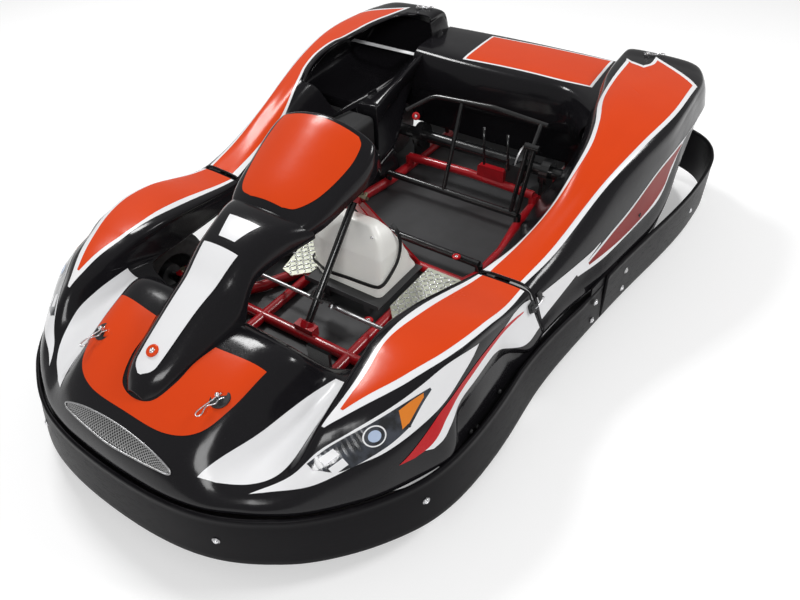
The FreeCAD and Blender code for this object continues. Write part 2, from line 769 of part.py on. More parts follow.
def rim(x, y, radius, width, bore, outward):
    """A pressed rim: its barrel with two flanges and a dished disc with a hub."""
    half = width / 2 - 6
    outer = rim_radius
    barrel = [(-half, outer), (-half, outer + 9), (-half + 4, outer + 9), (-half + 8, outer + 3),
              (half - 8, outer + 3), (half - 4, outer + 9), (half, outer + 9), (half, outer),
              (half - 6, outer - 1), (-half + 6, outer - 1)]
    shell = revolved(barrel, x, y, radius)
    disc = [(-3, bore), (-3, outer), (3, outer), (3, bore)]
    plate = revolved([(a + outward * 8, r) for a, r in disc], x, y, radius)
    hub = [(-34, bore), (-34, hub_radius), (34, hub_radius), (34, bore)]
    return joined(shell, plate, revolved(hub, x, y, radius))


def tyre(x, y, radius, width):
    half = width / 2
    inner = rim_radius + 3
    profile = [(-half + 15, inner), (-half + 6, inner + 10), (-half, inner + (radius - inner) * 0.45),
               (-half + 3, radius - 20), (-half + 12, radius - 5), (-half + 26, radius), (half - 26, radius),
               (half - 12, radius - 5), (half - 3, radius - 20), (half, inner + (radius - inner) * 0.45),
               (half - 6, inner + 10), (half - 15, inner)]
    return revolved(profile, x, y, radius)


def front_rim():
    return rim(across(front_wheel_x), front_axle, front_tyre_radius, front_tyre_width - 2,
               spindle_radius + running_fit, 1)


def front_tyre():
    return tyre(across(front_wheel_x), front_axle, front_tyre_radius, front_tyre_width).cut(front_rim())


def rear_rims():
    left = rim(across(rear_wheel_x), rear_axle, rear_tyre_radius, rear_tyre_width - 2, axle_radius, 1)
    return Part.makeCompound([left, mirrored(left)])


def rear_tyre():
    return tyre(across(rear_wheel_x), rear_axle, rear_tyre_radius, rear_tyre_width).cut(rear_rims())


def rear_axle_bar():
    reach = across(rear_wheel_x) + 34
    return pipe_x(-reach, reach, rear_axle, rear_tyre_radius, axle_radius, axle_radius - 3.5)


def carrier():
    """A bearing carrier plate on the rail, with the axle's bore."""
    x = across(236)
    z = rear_tyre_radius
    half = carrier_plate / 2
    block = box(Vector(x - half, rear_axle - 42, rail_height), Vector(x + half, rear_axle + 42, z))
    ring = cylinder(Vector(x - 14, rear_axle, z), Vector(x + 14, rear_axle, z), 42)
    bore = cylinder(Vector(x - 30, rear_axle, z), Vector(x + 30, rear_axle, z), axle_radius + running_fit)
    whole = joined(block, ring).cut(bore).cut(main_rail())
    return max(whole.Solids, key=lambda solid: solid.Volume)


def carriers():
    left = carrier()
    return Part.makeCompound([left, mirrored(left)])


def ring_on_axle(x, radius, thickness, hub):
    z = rear_tyre_radius
    plate = [(-thickness / 2, hub), (-thickness / 2, radius), (thickness / 2, radius), (thickness / 2, hub)]
    sleeve = [(-14, axle_radius), (-14, hub), (14, hub), (14, axle_radius)]
    return joined(revolved(plate, x, rear_axle, z), revolved(sleeve, x, rear_axle, z))


def sprocket():
    return ring_on_axle(across(sprocket_x), sprocket_radius, sprocket_thickness, 32.0)


def brake_disc():
    return ring_on_axle(across(disc_x), disc_radius, disc_thickness, 32.0)


def brake_caliper():
    """The caliper over the front of the disc, on a foot on the rear cross tube."""
    x = across(disc_x)
    z = rear_tyre_radius
    front = rear_axle - disc_radius
    corner = Vector(x - 26, front - 8, z - 34)
    body = box(corner, corner.add(Vector(52, 40, 68)))
    slot_half = disc_thickness / 2 + 3
    slot = box(Vector(x - slot_half, front - 5, z - 80), Vector(x + slot_half, rear_axle, z + 80))
    y = along(rear_cross_y)
    foot = box(Vector(x - 22, y - 4, rail_height + rear_cross_lift), Vector(x - 10, y + 16, z - 30))
    return joined(body.cut(slot), foot).cut(rear_cross())


# ---- tank, trays, seat bars, engine and pedals ----

def tank_low():
    """The tank's lowest corner: right, front, bottom."""
    return Vector(across(-22) - tank_width / 2, along(-188), tank_bottom)


def tank_rear(z):
    """Where the tank's back is at a height, just in front of the column's support bars."""
    foot, top = support_line(1)
    return foot.y + (top.y - foot.y) * (z - foot.z) / (top.z - foot.z) - tank_clearance


def rounded_level(x0, x1, y0, y1, z, radius):
    """A level rectangle with round corners, as one wire."""
    edges = []
    corners = [(x1, y0, -1, 1, 270), (x1, y1, -1, -1, 0), (x0, y1, 1, -1, 90), (x0, y0, 1, 1, 180)]
    arcs = []
    for x, y, inward_x, inward_y, start in corners:
        middle = Vector(x + inward_x * radius, y + inward_y * radius, z)
        circle = Part.Circle(middle, Vector(0, 0, 1), radius)
        arcs.append(Part.ArcOfCircle(circle, math.radians(start), math.radians(start + 90)))
    for here, after in zip(arcs, arcs[1:] + arcs[:1]):
        edges.append(here.toShape())
        edges.append(Part.LineSegment(here.EndPoint, after.StartPoint).toShape())
    return Part.Wire(edges)


def tank_section(height, right, left, front):
    """A level of the tank: how far its right, left and front sides have come in."""
    low = tank_low()
    z = low.z + height
    return rounded_level(low.x + right, low.x + tank_width - left, low.y + front, tank_rear(z), z,
                         tank_corner)


def tank_body():
    """The tank: upright at first, leaning back with the column, its shoulders sloping in to a flat top."""
    sections = [tank_section(0, 4, 6, 2), tank_section(76, 0, 0, 0), tank_section(130, 4, 0, 4),
                tank_section(tank_height - 29, 46, 14, 20), tank_section(tank_height, 108, 44, 30)]
    return Part.makeLoft(sections, True, True)


def column_tunnel():
    """Room round the column where it passes over the tank."""
    return cylinder(column_spot(-20), column_spot(460), column_radius + column_room)


def fuel_tank():
    return largest(tank_body().cut(column_tunnel()))


def tank_strap():
    """A flat strap round the tank, low down."""
    low = tank_low()
    z = low.z + strap_place
    t = strap_thickness
    rear = tank_rear(z + strap_width)
    outer = rounded_level(low.x - t, low.x + tank_width + t, low.y - t, rear + t, z, tank_corner + t)
    whole = Part.Face(outer).extrude(Vector(0, 0, strap_width))
    return largest(whole.cut(tank_body()))


def floor_tray():
    """The dark sheet under the frame, from the nose to behind the axle, with the tank's step on it."""
    half = [(0, -660), (176, -660), (176, -420), (214, -300), (196, -180), (206, -110), (262, 50),
            (262, 480), (228, 500), (228, 735), (0, 735)]
    right = [(-x, y) for x, y in half[-2:0:-1]]
    top = rail_height - rail_radius
    points = [at(x, y, top - tray_thickness) for x, y in half + right]
    sheet = Part.Face(Part.makePolygon(points + points[:1])).extrude(Vector(0, 0, tray_thickness))
    low = tank_low()
    step = low.z - tray_thickness
    x0 = -across(tray_reach)
    x1 = min(low.x + tank_width + tray_edge, across(tray_reach))
    y0 = low.y - 3 * tray_edge
    y1 = tank_rear(low.z)
    base = box(Vector(x0, y0, step), Vector(x1, y1, low.z))
    lip = box(Vector(x0, y0, step), Vector(x1, y0 + tray_thickness, low.z + tray_edge))
    feet = [box(Vector(x - 10, y0 + 10, top), Vector(x + 10, y1 - 10, step)) for x in (-62, 74)]
    tray = joined(sheet, base, lip, *feet)
    for rail in (main_rail(), inner_rail()):
        tray = tray.cut(rail).cut(mirrored(rail))
    return largest(tray)


def foot_tray():
    """The left checker plate beside the tank."""
    corners = [(134, -190), (172, -232), (214, -222), (250, -60), (240, 2), (134, 2)]
    points = [at(x, y, rail_height + rail_radius) for x, y in corners]
    return Part.Face(Part.makePolygon(points + points[:1])).extrude(Vector(0, 0, tray_thickness))


def foot_trays():
    left = foot_tray()
    return Part.makeCompound([left, mirrored(left)])


def seat_bar(y, reach):
    """A bar across the rails on two feet, with an upright hole near each end for a seat's bolts."""
    z = seat_bar_height
    bar = cylinder(at(-reach, y, z), at(reach, y, z), seat_bar_radius)
    feet = [cylinder(at(x, y, rail_height), at(x, y, z), seat_bar_radius) for x in (-reach, reach)]
    whole = joined(bar, feet[0], feet[1]).cut(main_rail()).cut(mirrored(main_rail()))
    for side in (-1, 1):
        spot = Vector(side * seat_bolt_spacing / 2, along(y), z - 2 * seat_bar_radius)
        whole = whole.cut(Part.makeCylinder(seat_bolt_radius, 4 * seat_bar_radius, spot))
    return whole


def rear_seat_bar():
    return seat_bar(rear_seat_bar_y, 238)


def seat_bars():
    return Part.makeCompound([seat_bar(72, 256), rear_seat_bar()])


def seat_stays():
    """Uprights on the rear seat bar, and the bar across their tops."""
    y = rear_seat_bar_y
    z = seat_bar_height + seat_bar_radius - 2
    clamp_y = 384.0
    clamp_z = 306.0
    pair = [cylinder(at(x, y, z), at(x + 18, clamp_y, clamp_z), stay_radius) for x in (214, 235)]
    clamp = cylinder(at(222, clamp_y, clamp_z), at(266, clamp_y, clamp_z), stay_radius + 3)
    rise = cylinder(at(246, clamp_y, clamp_z), at(242, 441, 355), stay_radius)
    middle = cylinder(at(-24, y, z), at(-24, 445, 352), stay_radius)
    top = tube([at(-200, 402, 302), at(-125, 445, 350), at(80, 445, 364), at(262, 440, 354)], stay_radius,
               60.0)
    return joined(clamp, pair[0], pair[1], rise, middle, top).cut(rear_seat_bar())


def engine_box():
    """Two corners of the engine's block, which narrows where the pod's post would meet it."""
    width = min(engine_width, across(pod_post_x - engine_inner_x) - post_clearance)
    low = Vector(-across(engine_inner_x) - width, along(60), engine_bottom)
    return low, low.add(Vector(width, engine_length, engine_height))


def engine():
    """The engine as one plain block between the right-hand rail and the pod."""
    block = box(*engine_box())
    return block.makeFillet(20.0, block.Edges)


def engine_mount():
    """The plate under the engine, on the side bar and, by two upstands, on the rail."""
    low, high = engine_box()
    plate = box(Vector(low.x + 20, low.y + 20, low.z - mount_plate),
                Vector(-across(262), high.y - 30, low.z))
    upstands = [box(Vector(-across(262) - 16, y, rail_height), Vector(-across(262), y + 24, low.z))
                for y in (low.y + 50, low.y + 190)]
    return joined(plate, *upstands).cut(mirrored(main_rail())).cut(mirrored(side_bar()))


def pedal():
    """The left pedal: its plate on an arm, with a cross shaft on the inner rail."""
    x = across(196)
    y = along(-560)
    foot = rail_height + inner_rail_radius + 9
    arm = tube([Vector(x, y, foot), Vector(x, y + 26, foot + 70), Vector(x, y + 22, foot + 150)], 6.0, 40.0)
    pad = box(Vector(x - 30, y + 14, foot + 118), Vector(x + 30, y + 22, foot + 168))
    shaft = pipe_x(across(inner_rail_x) - 4, x + 12, y, foot, 9.0)
    return joined(arm, pad, shaft)


def pedals():
    left = pedal()
    return Part.makeCompound([left, mirrored(left)])


def build():
    pieces = {
        "front_body": front_body(),
        "spine_fairing": largest(spine().cut(dash_panel()).cut(front_body())),
        "dash_panel": dash_panel(),
        "left_side_pod": side_pod(),
        "right_side_pod": right_pod(),
        "rear_deck": rear_deck(),
        "bumper_front": bumper_front(),
        "bumper_rear": bumper_rear(),
        "bumper_joint_plates": joint_plates(),
        "bumper_arms": belt_arms(),
        "side_bars": side_bars(),
        "body_brackets": body_brackets(),
        "frame_rails": Part.makeCompound([main_rails(), inner_rails()]),
        "cross_tubes": Part.makeCompound([front_cross(), middle_cross(), rear_cross()]),
        "king_pin_yokes": yokes(),
        "king_pins": king_pins(),
        "steering_column": steering_column(),
        "column_bracket": column_bracket(),
        "column_support": column_support(),
        "column_clamp": column_clamp(),
        "axle_carriers": carriers(),
        "rear_axle": rear_axle_bar(),
        "sprocket": sprocket(),
        "brake_disc": brake_disc(),
        "rear_rims": rear_rims(),
        "brake_caliper": brake_caliper(),
        "fuel_tank": fuel_tank(),
        "tank_strap": tank_strap(),
        "floor_tray": floor_tray(),
        "foot_trays": foot_trays(),
        "seat_bars": seat_bars(),
        "seat_stays": seat_stays(),
        "engine": engine(),
        "engine_mount": engine_mount(),
        "pedals": pedals(),
    }
    paired = {
        "knuckle": knuckle(),
        "tie_rod": tie_rod(),
        "front_rim": front_rim(),
        "front_tyre": front_tyre(),
        "rear_tyre": rear_tyre(),
    }
    for name, shape in paired.items():
        pieces["left_" + name] = shape
        pieces["right_" + name] = mirrored(shape)
    return pieces


os.makedirs("parts", exist_ok=True)
for name, shape in build().items():
    print(name, len(shape.Solids), shape.isValid(), round(shape.Volume))
    shape.exportStep("parts/" + name + ".step")
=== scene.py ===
import math

import bmesh
import bpy
import numpy as np
from mathutils import Matrix, Vector


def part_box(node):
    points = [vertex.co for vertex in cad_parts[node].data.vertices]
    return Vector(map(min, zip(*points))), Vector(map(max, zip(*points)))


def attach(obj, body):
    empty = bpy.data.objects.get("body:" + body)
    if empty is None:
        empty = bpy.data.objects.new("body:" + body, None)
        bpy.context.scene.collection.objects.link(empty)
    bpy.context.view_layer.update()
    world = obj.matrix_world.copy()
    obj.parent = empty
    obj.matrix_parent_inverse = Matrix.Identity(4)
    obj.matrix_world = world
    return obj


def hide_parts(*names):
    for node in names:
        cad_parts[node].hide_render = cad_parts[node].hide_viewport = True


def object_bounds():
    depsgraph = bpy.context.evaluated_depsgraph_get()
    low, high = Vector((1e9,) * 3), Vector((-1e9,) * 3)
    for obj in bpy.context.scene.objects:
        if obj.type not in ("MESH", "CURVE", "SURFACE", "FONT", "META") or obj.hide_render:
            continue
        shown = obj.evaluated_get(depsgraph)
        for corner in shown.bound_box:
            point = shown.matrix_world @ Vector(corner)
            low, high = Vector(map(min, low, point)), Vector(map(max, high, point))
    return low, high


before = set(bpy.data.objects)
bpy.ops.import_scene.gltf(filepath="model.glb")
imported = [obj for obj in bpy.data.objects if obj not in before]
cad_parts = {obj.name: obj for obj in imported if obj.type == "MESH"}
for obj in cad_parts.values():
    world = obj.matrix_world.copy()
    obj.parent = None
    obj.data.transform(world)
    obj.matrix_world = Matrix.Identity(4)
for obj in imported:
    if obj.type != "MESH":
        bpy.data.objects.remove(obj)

CAD_LOW, CAD_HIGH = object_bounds()
MM = 0.001

# ---- places that the frame gives ----


def span(node):
    """Lowest and highest corner of a CAD node, as arrays."""
    low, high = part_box(node)
    return np.array(low), np.array(high)


BELT_LOW, BELT_HIGH = span("bumper_front")
LENGTH = CAD_HIGH[1] - CAD_LOW[1]
WIDTH = CAD_HIGH[0] - CAD_LOW[0]
DRAWN = np.array([1354.0, 1982.0, 1000.0])
SCALE = np.array([WIDTH, LENGTH, 1.0]) / DRAWN


def placed(points):
    """Outline tables are drawn in millimetres on a kart of the drawn size; this fits them to the frame."""
    return np.asarray(points, float) * SCALE


# ---- curves and surfaces ----


def through(points, count, closed=False):
    """A smooth curve through its points (Catmull-Rom), walked at even steps."""
    p = np.asarray(points, float)
    if closed:
        p = np.vstack([p[-1:], p, p[:2]])
    else:
        p = np.vstack([2 * p[:1] - p[1:2], p, 2 * p[-1:] - p[-2:-1]])
    spans = len(p) - 3
    t = np.linspace(0, spans, spans * 24 + 1)
    i = np.minimum(t.astype(int), spans - 1)
    f = (t - i)[:, None]
    a, b, c, d = p[i], p[i + 1], p[i + 2], p[i + 3]
    square = 2 * a - 5 * b + 4 * c - d
    cube = 3 * b - a - 3 * c + d
    fine = 0.5 * (2 * b + (c - a) * f + square * f ** 2 + cube * f ** 3)
    return even_steps(fine, count, closed)


def even_steps(points, count, closed=False):
    """The same line in count equal steps."""
    p = np.asarray(points, float)
    length = np.concatenate([[0], np.cumsum(np.linalg.norm(np.diff(p, axis=0), axis=1))])
    at = np.linspace(0, length[-1], count + 1 if closed else count)
    line = np.stack([np.interp(at, length, p[:, k]) for k in range(p.shape[1])], axis=1)
    return line[:-1] if closed else line


# ---- meshes ----


def new_piece(name, body, material, vertices, faces, uv=None, smooth=True):
    """A mesh piece from whole arrays. faces is an array of quads or a list of polygons."""
    mesh = bpy.data.meshes.new(name)
    faces = faces.tolist() if isinstance(faces, np.ndarray) else faces
    mesh.from_pydata(np.asarray(vertices, float).reshape(-1, 3).tolist(), [], faces)
    if uv is not None:
        layer = mesh.uv_layers.new(name="UVMap")
        corner = np.zeros(len(mesh.loops), int)
        mesh.loops.foreach_get("vertex_index", corner)
        layer.data.foreach_set("uv", np.asarray(uv, float).reshape(-1, 2)[corner].ravel())
    mesh.polygons.foreach_set("use_smooth", [smooth] * len(mesh.polygons))
    mesh.materials.append(material)
    piece = bpy.data.objects.new(name, mesh)
    bpy.context.scene.collection.objects.link(piece)
    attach(piece, body)
    return piece


def grid_faces(rows, columns, wrap_rows=False, wrap_columns=False):
    """Quads between neighbours of a grid, joined round at its ends where it wraps."""
    index = np.arange(rows * columns).reshape(rows, columns)
    if wrap_rows:
        index = np.vstack([index, index[:1]])
    if wrap_columns:
        index = np.hstack([index, index[:, :1]])
    return np.stack([index[:-1, :-1], index[:-1, 1:], index[1:, 1:], index[1:, :-1]], axis=-1).reshape(-1, 4)


def grid_piece(name, body, material, points, wrap_rows=False, wrap_columns=False, flip=False):
    """A grid of points as a surface, with a map of its two directions."""
    rows, columns = points.shape[:2]
    faces = grid_faces(rows, columns, wrap_rows, wrap_columns)
    if flip:
        faces = faces[:, ::-1]
    u, v = np.meshgrid(np.linspace(0, 1, columns), np.linspace(0, 1, rows))
    return new_piece(name, body, material, points, faces, np.stack([u, v], axis=-1))


def thicken(piece, wall, side=-1.0, rim=0.0):
    """A wall of even thickness behind the surface, with a rounded edge if a rim width is given."""
    solid = piece.modifiers.new("wall", "SOLIDIFY")
    solid.thickness = wall
    solid.offset = side
    solid.use_even_offset = False
    if rim:
        bevel = piece.modifiers.new("edge", "BEVEL")
        bevel.width = rim
        bevel.segments = 3
        bevel.limit_method = "ANGLE"
        bevel.angle_limit = math.radians(60)
    return piece


def settle(piece):
    """Keeps the piece's finished mesh in place of its modifiers."""
    seen = piece.evaluated_get(bpy.context.evaluated_depsgraph_get())
    mesh = bpy.data.meshes.new_from_object(seen)
    piece.modifiers.clear()
    piece.data = mesh
    return piece


def frames_along(path, closed=False):
    """Direction and two square directions at each point, kept level with the flattest plane of the path."""
    p = np.asarray(path, float)
    if closed:
        way = np.roll(p, -1, axis=0) - np.roll(p, 1, axis=0)
    else:
        way = np.gradient(p, axis=0)
    way /= np.linalg.norm(way, axis=1, keepdims=True)
    level = np.linalg.svd(way)[2][-1]
    side = np.cross(way, level)
    side /= np.linalg.norm(side, axis=1, keepdims=True)
    return way, side, np.cross(side, way)


def tube_points(path, radius, sides=16, closed=False):
    """A round section carried along a path; radius may change along it."""
    way, side, up = frames_along(path, closed)
    turn = np.linspace(0, 2 * np.pi, sides, endpoint=False)
    r = np.broadcast_to(np.asarray(radius, float), (len(way),))[:, None, None]
    ring = side[:, None] * np.cos(turn)[None, :, None] + up[:, None] * np.sin(turn)[None, :, None]
    return np.asarray(path, float)[:, None] + ring * r


def turned_points(profile, centre, axis, sides=48):
    """A profile of (along, radius) pairs turned about an axis through a centre."""
    axis = np.asarray(axis, float) / np.linalg.norm(axis)
    helper = np.array([0.0, 0.0, 1.0]) if abs(axis[2]) < 0.9 else np.array([1.0, 0.0, 0.0])
    side = np.cross(axis, helper)
    side /= np.linalg.norm(side)
    up = np.cross(axis, side)
    turn = np.linspace(0, 2 * np.pi, sides, endpoint=False)
    ring = np.cos(turn)[:, None] * side + np.sin(turn)[:, None] * up
    profile = np.asarray(profile, float)
    return np.asarray(centre, float) + profile[:, None, :1] * axis + profile[:, None, 1:] * ring[None]


def closed_grid(points, wrap_columns=True):
    """Vertices and faces of a wrapped grid with its two ends filled."""
    rows, columns = points.shape[:2]
    faces = grid_faces(rows, columns, False, wrap_columns).tolist()
    faces.append(list(range(columns)))
    faces.append(list(range((rows - 1) * columns, rows * columns))[::-1])
    return points.reshape(-1, 3), faces


def joined_pieces(parts):
    """Several (vertices, faces) lists as one."""
    vertices = []
    faces = []
    start = 0
    for points, polygons in parts:
        points = np.asarray(points, float).reshape(-1, 3)
        vertices.append(points)
        faces += [[index + start for index in polygon] for polygon in polygons]
        start += len(points)
    return np.vstack(vertices), faces


def outward(piece):
    """Turns the faces of a closed mesh outwards."""
    shape = bmesh.new()
    shape.from_mesh(piece.data)
    bmesh.ops.remove_doubles(shape, verts=shape.verts, dist=1e-6)
    bmesh.ops.recalc_face_normals(shape, faces=shape.faces)
    shape.to_mesh(piece.data)
    shape.free()
    return piece


def mirrored(points):
    return np.asarray(points, float) * np.array([-1.0, 1.0, 1.0])


# ---- shader maths ----


class Value:
    """A socket in a material; sums and products of it add the nodes they need."""

    def __init__(self, finish, socket):
        self.finish = finish
        self.socket = socket

    def math(self, operation, other=None, third=None, clamp=False):
        inputs = {0: self}
        if other is not None:
            inputs[1] = other
        if third is not None:
            inputs[2] = third
        return self.finish.node("ShaderNodeMath", {"operation": operation, "use_clamp": clamp}, inputs)

    def __add__(self, other):
        return self.math("ADD", other)

    __radd__ = __add__

    def __mul__(self, other):
        return self.math("MULTIPLY", other)

    __rmul__ = __mul__

    def __sub__(self, other):
        return self.math("SUBTRACT", other)

    def __rsub__(self, other):
        return self.finish.value(other).math("SUBTRACT", self)

    def __truediv__(self, other):
        return self.math("DIVIDE", other)

    def __neg__(self):
        return self * -1.0

    def above(self, edge, soft=0.0):
        """1 over the edge and 0 under it, with a soft step if asked."""
        if soft == 0.0:
            return self.math("GREATER_THAN", edge)
        return ((self - edge) / soft + 0.5).math("MAXIMUM", 0.0).math("MINIMUM", 1.0)


class Finish:
    """A material built node by node around one Principled shader."""

    def __init__(self, name, **settings):
        self.material = bpy.data.materials.new(name)
        self.material.use_nodes = True
        self.tree = self.material.node_tree
        self.shader = next(n for n in self.tree.nodes if n.type == "BSDF_PRINCIPLED")
        for key, setting in settings.items():
            self.set(key.replace("_", " "), setting)

    def set(self, name, setting):
        socket = self.shader.inputs[name]
        if isinstance(setting, Value):
            self.tree.links.new(setting.socket, socket)
        elif isinstance(setting, (tuple, list)) and len(setting) == 3:
            socket.default_value = (*setting, 1.0)
        else:
            socket.default_value = setting

    def node(self, kind, settings=None, inputs=None, output=0):
        made = self.tree.nodes.new(kind)
        for key, setting in (settings or {}).items():
            if key == "stops":
                ramp = made.color_ramp
                while len(ramp.elements) < len(setting):
                    ramp.elements.new(0.5)
                for element, (place, colour) in zip(ramp.elements, setting):
                    element.position = place
                    element.color = (*colour, 1.0)
            else:
                setattr(made, key, setting)
        for key, given in (inputs or {}).items():
            socket = made.inputs[key]
            if isinstance(given, Value):
                self.tree.links.new(given.socket, socket)
            elif isinstance(given, (tuple, list)) and len(given) == 3 and socket.type == "RGBA":
                socket.default_value = (*given, 1.0)
            else:
                socket.default_value = given
        return Value(self, made.outputs[output])

    def value(self, number):
        return self.node("ShaderNodeMath", {"operation": "ADD"}, {0: float(number), 1: 0.0})

    def place(self, scale=(1.0, 1.0, 1.0), turn=(0.0, 0.0, 0.0)):
        seat = self.node("ShaderNodeTexCoord", output=3)
        return self.node("ShaderNodeMapping", {}, {"Vector": seat, "Rotation": turn, "Scale": scale})

    def noise(self, scale, detail=3.0, rough=0.5, place=None):
        seat = place or self.node("ShaderNodeTexCoord", output=3)
        return self.node("ShaderNodeTexNoise", {},
                         {"Vector": seat, "Scale": scale, "Detail": detail, "Roughness": rough})

    def cells(self, scale, feature="F1", place=None):
        seat = place or self.node("ShaderNodeTexCoord", output=3)
        return self.node("ShaderNodeTexVoronoi", {"feature": feature}, {"Vector": seat, "Scale": scale})

    def mixed(self, factor, first, second):
        made = self.node("ShaderNodeMix", {"data_type": "RGBA"}, {0: factor, 6: first, 7: second}, output=2)
        return made

    def bump(self, height, strength, distance):
        inputs = {"Height": height, "Strength": strength, "Distance": distance}
        return self.node("ShaderNodeBump", {}, inputs)


# ---- finishes ----

ORANGE = (0.690, 0.056, 0.0050)
WHITE = (0.84, 0.84, 0.85)
BLACK = (0.0075, 0.0070, 0.0085)


def gloss_black():
    """Deep black moulding: a slight waviness, fine dust, and hairlines that only show in the sheen."""
    f = Finish("gloss_black", Base_Color=BLACK, Roughness=0.12, Coat_Weight=0.04, Coat_Roughness=0.04,
               Specular_IOR_Level=0.24)
    dust = f.noise(420.0, 4.0, 0.7).above(0.62, 0.18)
    cloud = f.noise(7.0, 3.0)
    f.set("Base Color", f.mixed(dust * 0.10 + cloud * 0.05, BLACK, (0.05, 0.048, 0.05)))
    f.set("Roughness", 0.10 + cloud * 0.10 + dust * 0.12)
    f.set("Normal", f.bump(f.noise(26.0, 2.0), 0.10, 0.004))
    return f.material


def belt_black():
    """Satin black belt with a fine moulded grain and scuffs along it."""
    f = Finish("belt_black", Base_Color=(0.0065, 0.0058, 0.0070), Roughness=0.46, Specular_IOR_Level=0.08)
    scuff = f.noise(38.0, 5.0, 0.75, f.place((1.0, 1.0, 9.0))).above(0.60, 0.14)
    grain = f.noise(900.0, 2.0)
    f.set("Base Color", f.mixed(scuff * 0.22, (0.0048, 0.0043, 0.0054), (0.030, 0.028, 0.029)))
    f.set("Roughness", 0.34 + scuff * 0.22 + grain * 0.06)
    f.set("Normal", f.bump(grain, 0.18, 0.0006))
    return f.material


def printed_sheet(name, colour, deep, rough=0.20):
    """A laid vinyl sheet: an even colour, a faint mottle, and small ripples that catch the light."""
    f = Finish(name, Base_Color=colour, Roughness=rough, Coat_Weight=0.05, Coat_Roughness=0.08,
               Specular_IOR_Level=0.22)
    mottle = f.noise(9.0, 4.0)
    f.set("Base Color", f.mixed(mottle.above(0.52, 0.5) * 0.35, colour, deep))
    f.set("Roughness", rough + mottle * 0.10)
    f.set("Normal", f.bump(f.noise(34.0, 2.0), 0.07, 0.004))
    return f.material


def painted(name, colour, deep, rough=0.22):
    """Powder paint on tube: orange-peel bump and darker, dustier patches."""
    f = Finish(name, Base_Color=colour, Roughness=rough, Coat_Weight=0.4, Coat_Roughness=0.10)
    patch = f.noise(22.0, 5.0, 0.6)
    f.set("Base Color", f.mixed(patch.above(0.5, 0.4) * 0.6, colour, deep))
    f.set("Roughness", rough + patch * 0.16)
    f.set("Normal", f.bump(f.noise(240.0, 2.0), 0.12, 0.0010))
    return f.material


def metal(name, colour, rough, streak=(1.0, 1.0, 1.0), dull=(0.2, 0.19, 0.17)):
    """Bare or plated metal with fine streaks and dull patches."""
    f = Finish(name, Base_Color=colour, Metallic=1.0, Roughness=rough)
    line = f.noise(160.0, 4.0, 0.6, f.place(streak))
    patch = f.noise(30.0, 4.0, 0.65)
    f.set("Base Color", f.mixed(patch.above(0.56, 0.3) * 0.5, colour, dull))
    f.set("Roughness", rough + line * 0.16 + patch * 0.12)
    f.set("Normal", f.bump(line, 0.10, 0.0008))
    return f.material


def tyre_rubber():
    """Worn slick rubber: grey scrubbed patches, small pick-up crumbs and fine scratches."""
    f = Finish("tyre_rubber", Base_Color=(0.016, 0.016, 0.017), Roughness=0.70)
    scrub = f.noise(60.0, 6.0, 0.7)
    crumb = f.cells(420.0)
    f.set("Base Color", f.mixed(scrub.above(0.5, 0.35), (0.012, 0.012, 0.013), (0.034, 0.033, 0.032)))
    f.set("Roughness", 0.62 + scrub * 0.22)
    f.set("Normal", f.bump(scrub * 0.6 + crumb * 0.4, 0.25, 0.0010))
    return f.material


def tank_plastic():
    """Milky moulded plastic, a little yellow in places, with a soft sheen, a fine sand-blasted grain and a
    faint painted glow: its emission, mottled by the same cloud, lifts the tank as painted light.
    """
    f = Finish("tank_plastic", Base_Color=(0.92, 0.91, 0.88), Roughness=0.30, Emission_Strength=1.0)
    cloud = f.noise(11.0, 4.0)
    f.set("Base Color", f.mixed(cloud.above(0.5, 0.6) * 0.6, (0.93, 0.925, 0.905), (0.86, 0.85, 0.78)))
    # painted light: a faint emission glow that brightens the tank though it is no lamp
    f.set("Emission Color", f.mixed(cloud, (0.10, 0.10, 0.095), (0.15, 0.148, 0.135)))
    f.set("Roughness", 0.26 + cloud * 0.12)
    f.set("Normal", f.bump(f.noise(500.0, 2.0), 0.10, 0.0006))
    return f.material


def dark_plastic(name, colour=(0.012, 0.012, 0.013), rough=0.5):
    """Dull black plastic or rubber with a moulded grain."""
    f = Finish(name, Base_Color=colour, Roughness=rough)
    grain = f.noise(700.0, 3.0)
    cloud = f.noise(15.0, 3.0)
    f.set("Roughness", rough - 0.08 + cloud * 0.16)
    f.set("Base Color", f.mixed(cloud.above(0.55, 0.3) * 0.5, colour, (0.03, 0.03, 0.031)))
    f.set("Normal", f.bump(grain, 0.2, 0.0006))
    return f.material


def mesh_finish():
    """A fine woven grille: two slanting sets of wires over dark holes, by the sheet's own map."""
    f = Finish("mesh", Base_Color=(0.02, 0.02, 0.021), Roughness=0.35)
    seat = f.node("ShaderNodeTexCoord", output=2)
    along = f.node("ShaderNodeSeparateXYZ", {}, {0: seat}, output=1) * 130.0
    across = f.node("ShaderNodeSeparateXYZ", {}, {0: seat}, output=0) * 15.0
    one = (along + across).math("SINE").math("ABSOLUTE")
    two = (along - across).math("SINE").math("ABSOLUTE")
    wire = one.math("MINIMUM", two).above(0.42, -0.3)
    f.set("Base Color", f.mixed(wire, (0.004, 0.004, 0.004), (0.50, 0.50, 0.50)))
    f.set("Metallic", wire * 0.8)
    f.set("Normal", f.bump(wire, 0.6, 0.0008))
    return f.material


def lamp_finish():
    """Clear lamp cover over a dark reflector: ribs across it and paler, bluish patches."""
    f = Finish("lamp", Base_Color=(0.02, 0.022, 0.026), Roughness=0.08, Coat_Weight=0.6, Coat_Roughness=0.03)
    seat = f.node("ShaderNodeTexCoord", output=2)
    along = f.node("ShaderNodeSeparateXYZ", {}, {0: seat}, output=1)
    rib = (along * 160.0).math("SINE").above(0.2, 0.8)
    cloud = f.noise(38.0, 3.0)
    f.set("Base Color", f.mixed(cloud.above(0.5, 0.25) * 0.8, (0.010, 0.011, 0.013), (0.055, 0.062, 0.080)))
    f.set("Roughness", 0.06 + rib * 0.10)
    f.set("Normal", f.bump(rib, 0.12, 0.0006))
    return f.material


